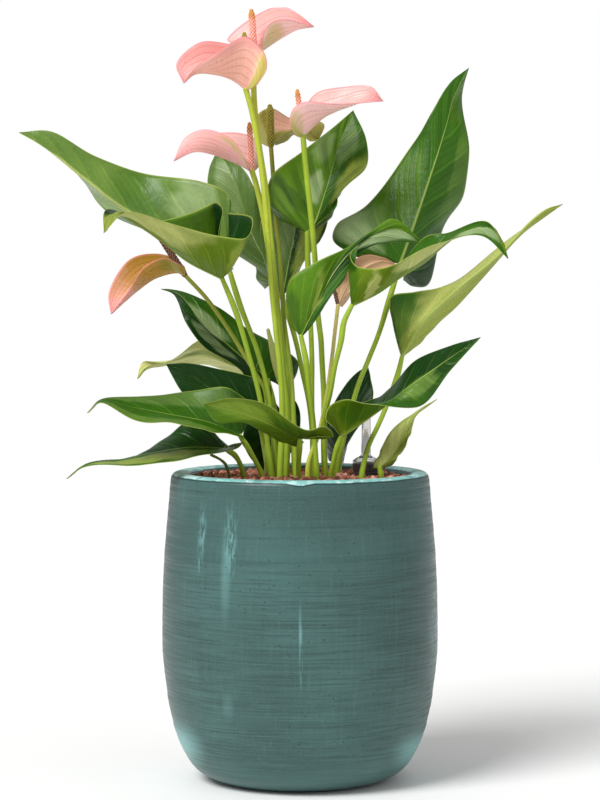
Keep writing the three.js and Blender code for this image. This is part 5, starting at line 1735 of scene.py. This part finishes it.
def add_spathe(bloom, settings, phase):
    """Makes a bloom's spathe."""
    name = bloom["name"]
    inner_foot, inner_tip, outer_foot, outer_tip = chosen(settings, SPATHE_SHADES[name])
    shape = Shape()
    add_blade(shape, bloom, SPATHE_CAMBER, spathe_relief(phase), *SPATHE_RIB)
    turns = SPATHE_TURNS.get(name, USUAL_TURNS)
    materials = [
        spathe_finish(name, "upper", inner_foot, inner_tip, settings, turns),
        spathe_finish(name, "under", outer_foot, outer_tip, settings, turns),
        edge_finish("spathe_edge_" + name, settings.blush),
    ]
    shape.make("petal_" + name, materials, SPATHE_SLOTS.get(name, "spathe_pink"), replaces=["spathe_" + name])


def add_spadix(bloom, settings):
    """Makes a spadix whose florets stand in slanting rows."""
    name = bloom["name"]
    foot, tip = seen(bloom["rib"][0]), seen(bloom["spadix"])
    rise = tip - foot
    length_up = np.linalg.norm(rise)
    start = foot + rise * BLOOM_GAP / length_up
    end = tip - rise * ROUND_END / length_up
    path = Path([start, (foot + tip) / 2 + [0, 0.6, 0], end])
    shares = np.linspace(0, 1, SPADIX_RINGS)
    radius = bloom["spadix_radius"]
    florets = round(FLORETS_PER_MM * radius)
    rows = path.lengths[-1] / (2 * math.pi * radius / florets)
    up = shares[:, None] * rows
    turn = np.arange(SPADIX_SIDES)[None, :] / SPADIX_SIDES * florets
    knob = np.abs(np.sin(math.pi * (turn + up)) * np.sin(math.pi * (turn - up))) ** 0.7
    taper = np.minimum(1, np.minimum(0.8 + 2 * shares, 0.6 + 4 * (1 - shares)))
    shape = Shape()
    swept(shape, path, shares, radius * taper[:, None] * (0.82 + 0.26 * knob), SPADIX_SIDES, tones=knob)
    low, high = chosen(settings, SPADIX_SHADES[name])
    spike = spadix_finish("spike_" + name, low, high, GAP_DEPTH.get(name, USUAL_DEPTH))
    shape.make("spike_" + name, [spike], SPADIX_SLOTS.get(name, "spadix_orange"), replaces=["spadix_" + name])


class FLOWER_OT_stage(bpy.types.Operator):
    """Set the floor, the lamps, the sky and the camera"""

    bl_idname = "flower.make_stage"
    bl_label = "Stage"

    def execute(self, context):
        settings = context.scene.flower_stage
        scene = context.scene
        scene.view_settings.view_transform = "Standard"
        mesh = bpy.data.meshes.new("floor")
        angles = np.linspace(0, 2 * math.pi, FLOOR_SIDES + 1)[:-1]
        corners = [(FLOOR_RADIUS * math.cos(a), FLOOR_RADIUS * math.sin(a), 0) for a in angles]
        mesh.from_pydata(corners, [], [range(FLOOR_SIDES)])
        mesh.materials.append(floor_finish(settings))
        floor = bpy.data.objects.new("floor", mesh)
        scene.collection.objects.link(floor)

        world = bpy.data.worlds.new("sky")
        scene.world = world
        world.use_nodes = True
        sky = Tree(world.node_tree)
        straight = sky.add("ShaderNodeLightPath").outputs["Is Camera Ray"]
        strength = sky.span(straight, 0, 1, settings.brightness, 1)
        sky.feed(world.node_tree.nodes["Background"], {"Strength": strength, "Color": (1, 1, 1, 1)})
        for name, place, spread, key in LAMPS:
            add_lamp(name, place, math.radians(spread), getattr(settings, key))

        camera = bpy.data.cameras.new("camera")
        camera.lens = CAMERA_LENS
        camera.sensor_width = CAMERA_WIDTH
        camera.clip_end = CAMERA_REACH
        eye = bpy.data.objects.new("camera", camera)
        eye.location = (0, -VIEW_DISTANCE * MM, VIEW_HEIGHT * MM)
        eye.rotation_euler = (math.pi / 2 - math.atan(VIEW_DROP / VIEW_DISTANCE), 0, 0)
        scene.collection.objects.link(eye)
        scene.camera = eye
        return {"FINISHED"}


def add_lamp(name, place, spread, strength):
    """Adds a broad distant lamp that shines from a place towards the middle of the plant."""
    lamp = bpy.data.lights.new(name, "SUN")
    lamp.angle = spread
    lamp.energy = strength
    piece = bpy.data.objects.new(name, lamp)
    piece.location = place
    x, y, z = np.array(LAMP_TARGET) - place
    piece.rotation_euler = (math.atan2(math.hypot(x, y), -z), 0, math.atan2(y, x) - math.pi / 2)
    bpy.context.scene.collection.objects.link(piece)


class FLOWER_PT_panel(bpy.types.Panel):
    """Lists the steps that build the flower"""

    bl_idname = "FLOWER_PT_panel"
    bl_label = "Flamingo flower"
    bl_space_type = "VIEW_3D"
    bl_region_type = "UI"
    bl_category = "Flower"

    def draw(self, context):
        for label, settings, operator in STEPS:
            box = self.layout.box()
            box.label(text=label)
            for key in getattr(context.scene, settings).__annotations__:
                box.prop(getattr(context.scene, settings), key)
            box.operator(operator)


SETTINGS = {
    "flower_stage": StageSettings,
    "flower_pot": PotSettings,
    "flower_bed": BedSettings,
    "flower_gauge": GaugeSettings,
    "flower_leaves": LeafSettings,
    "flower_blooms": BloomSettings,
}

STEPS = [
    ("Stage", "flower_stage", "flower.make_stage"),
    ("Pot", "flower_pot", "flower.make_pot"),
    ("Granules", "flower_bed", "flower.make_bed"),
    ("Gauge", "flower_gauge", "flower.make_gauge"),
    ("Leaves", "flower_leaves", "flower.make_leaves"),
    ("Shoots", "flower_leaves", "flower.make_shoots"),
    ("Blooms", "flower_blooms", "flower.make_blooms"),
]

OPERATORS = [
    FLOWER_OT_stage, FLOWER_OT_pot, FLOWER_OT_bed, FLOWER_OT_gauge, FLOWER_OT_leaves, FLOWER_OT_shoots,
    FLOWER_OT_blooms,
]


def register():
    for kind in (*SETTINGS.values(), *OPERATORS, FLOWER_PT_panel):
        bpy.utils.register_class(kind)
    for name, kind in SETTINGS.items():
        setattr(bpy.types.Scene, name, bpy.props.PointerProperty(type=kind))


def unregister():
    for name in SETTINGS:
        delattr(bpy.types.Scene, name)
    for kind in (FLOWER_PT_panel, *reversed(OPERATORS), *reversed(SETTINGS.values())):
        bpy.utils.unregister_class(kind)


def main():
    register()
    for _, _, name in STEPS:
        family, operator = name.split(".")
        getattr(getattr(bpy.ops, family), operator)()


if __name__ == "__main__":
    main()
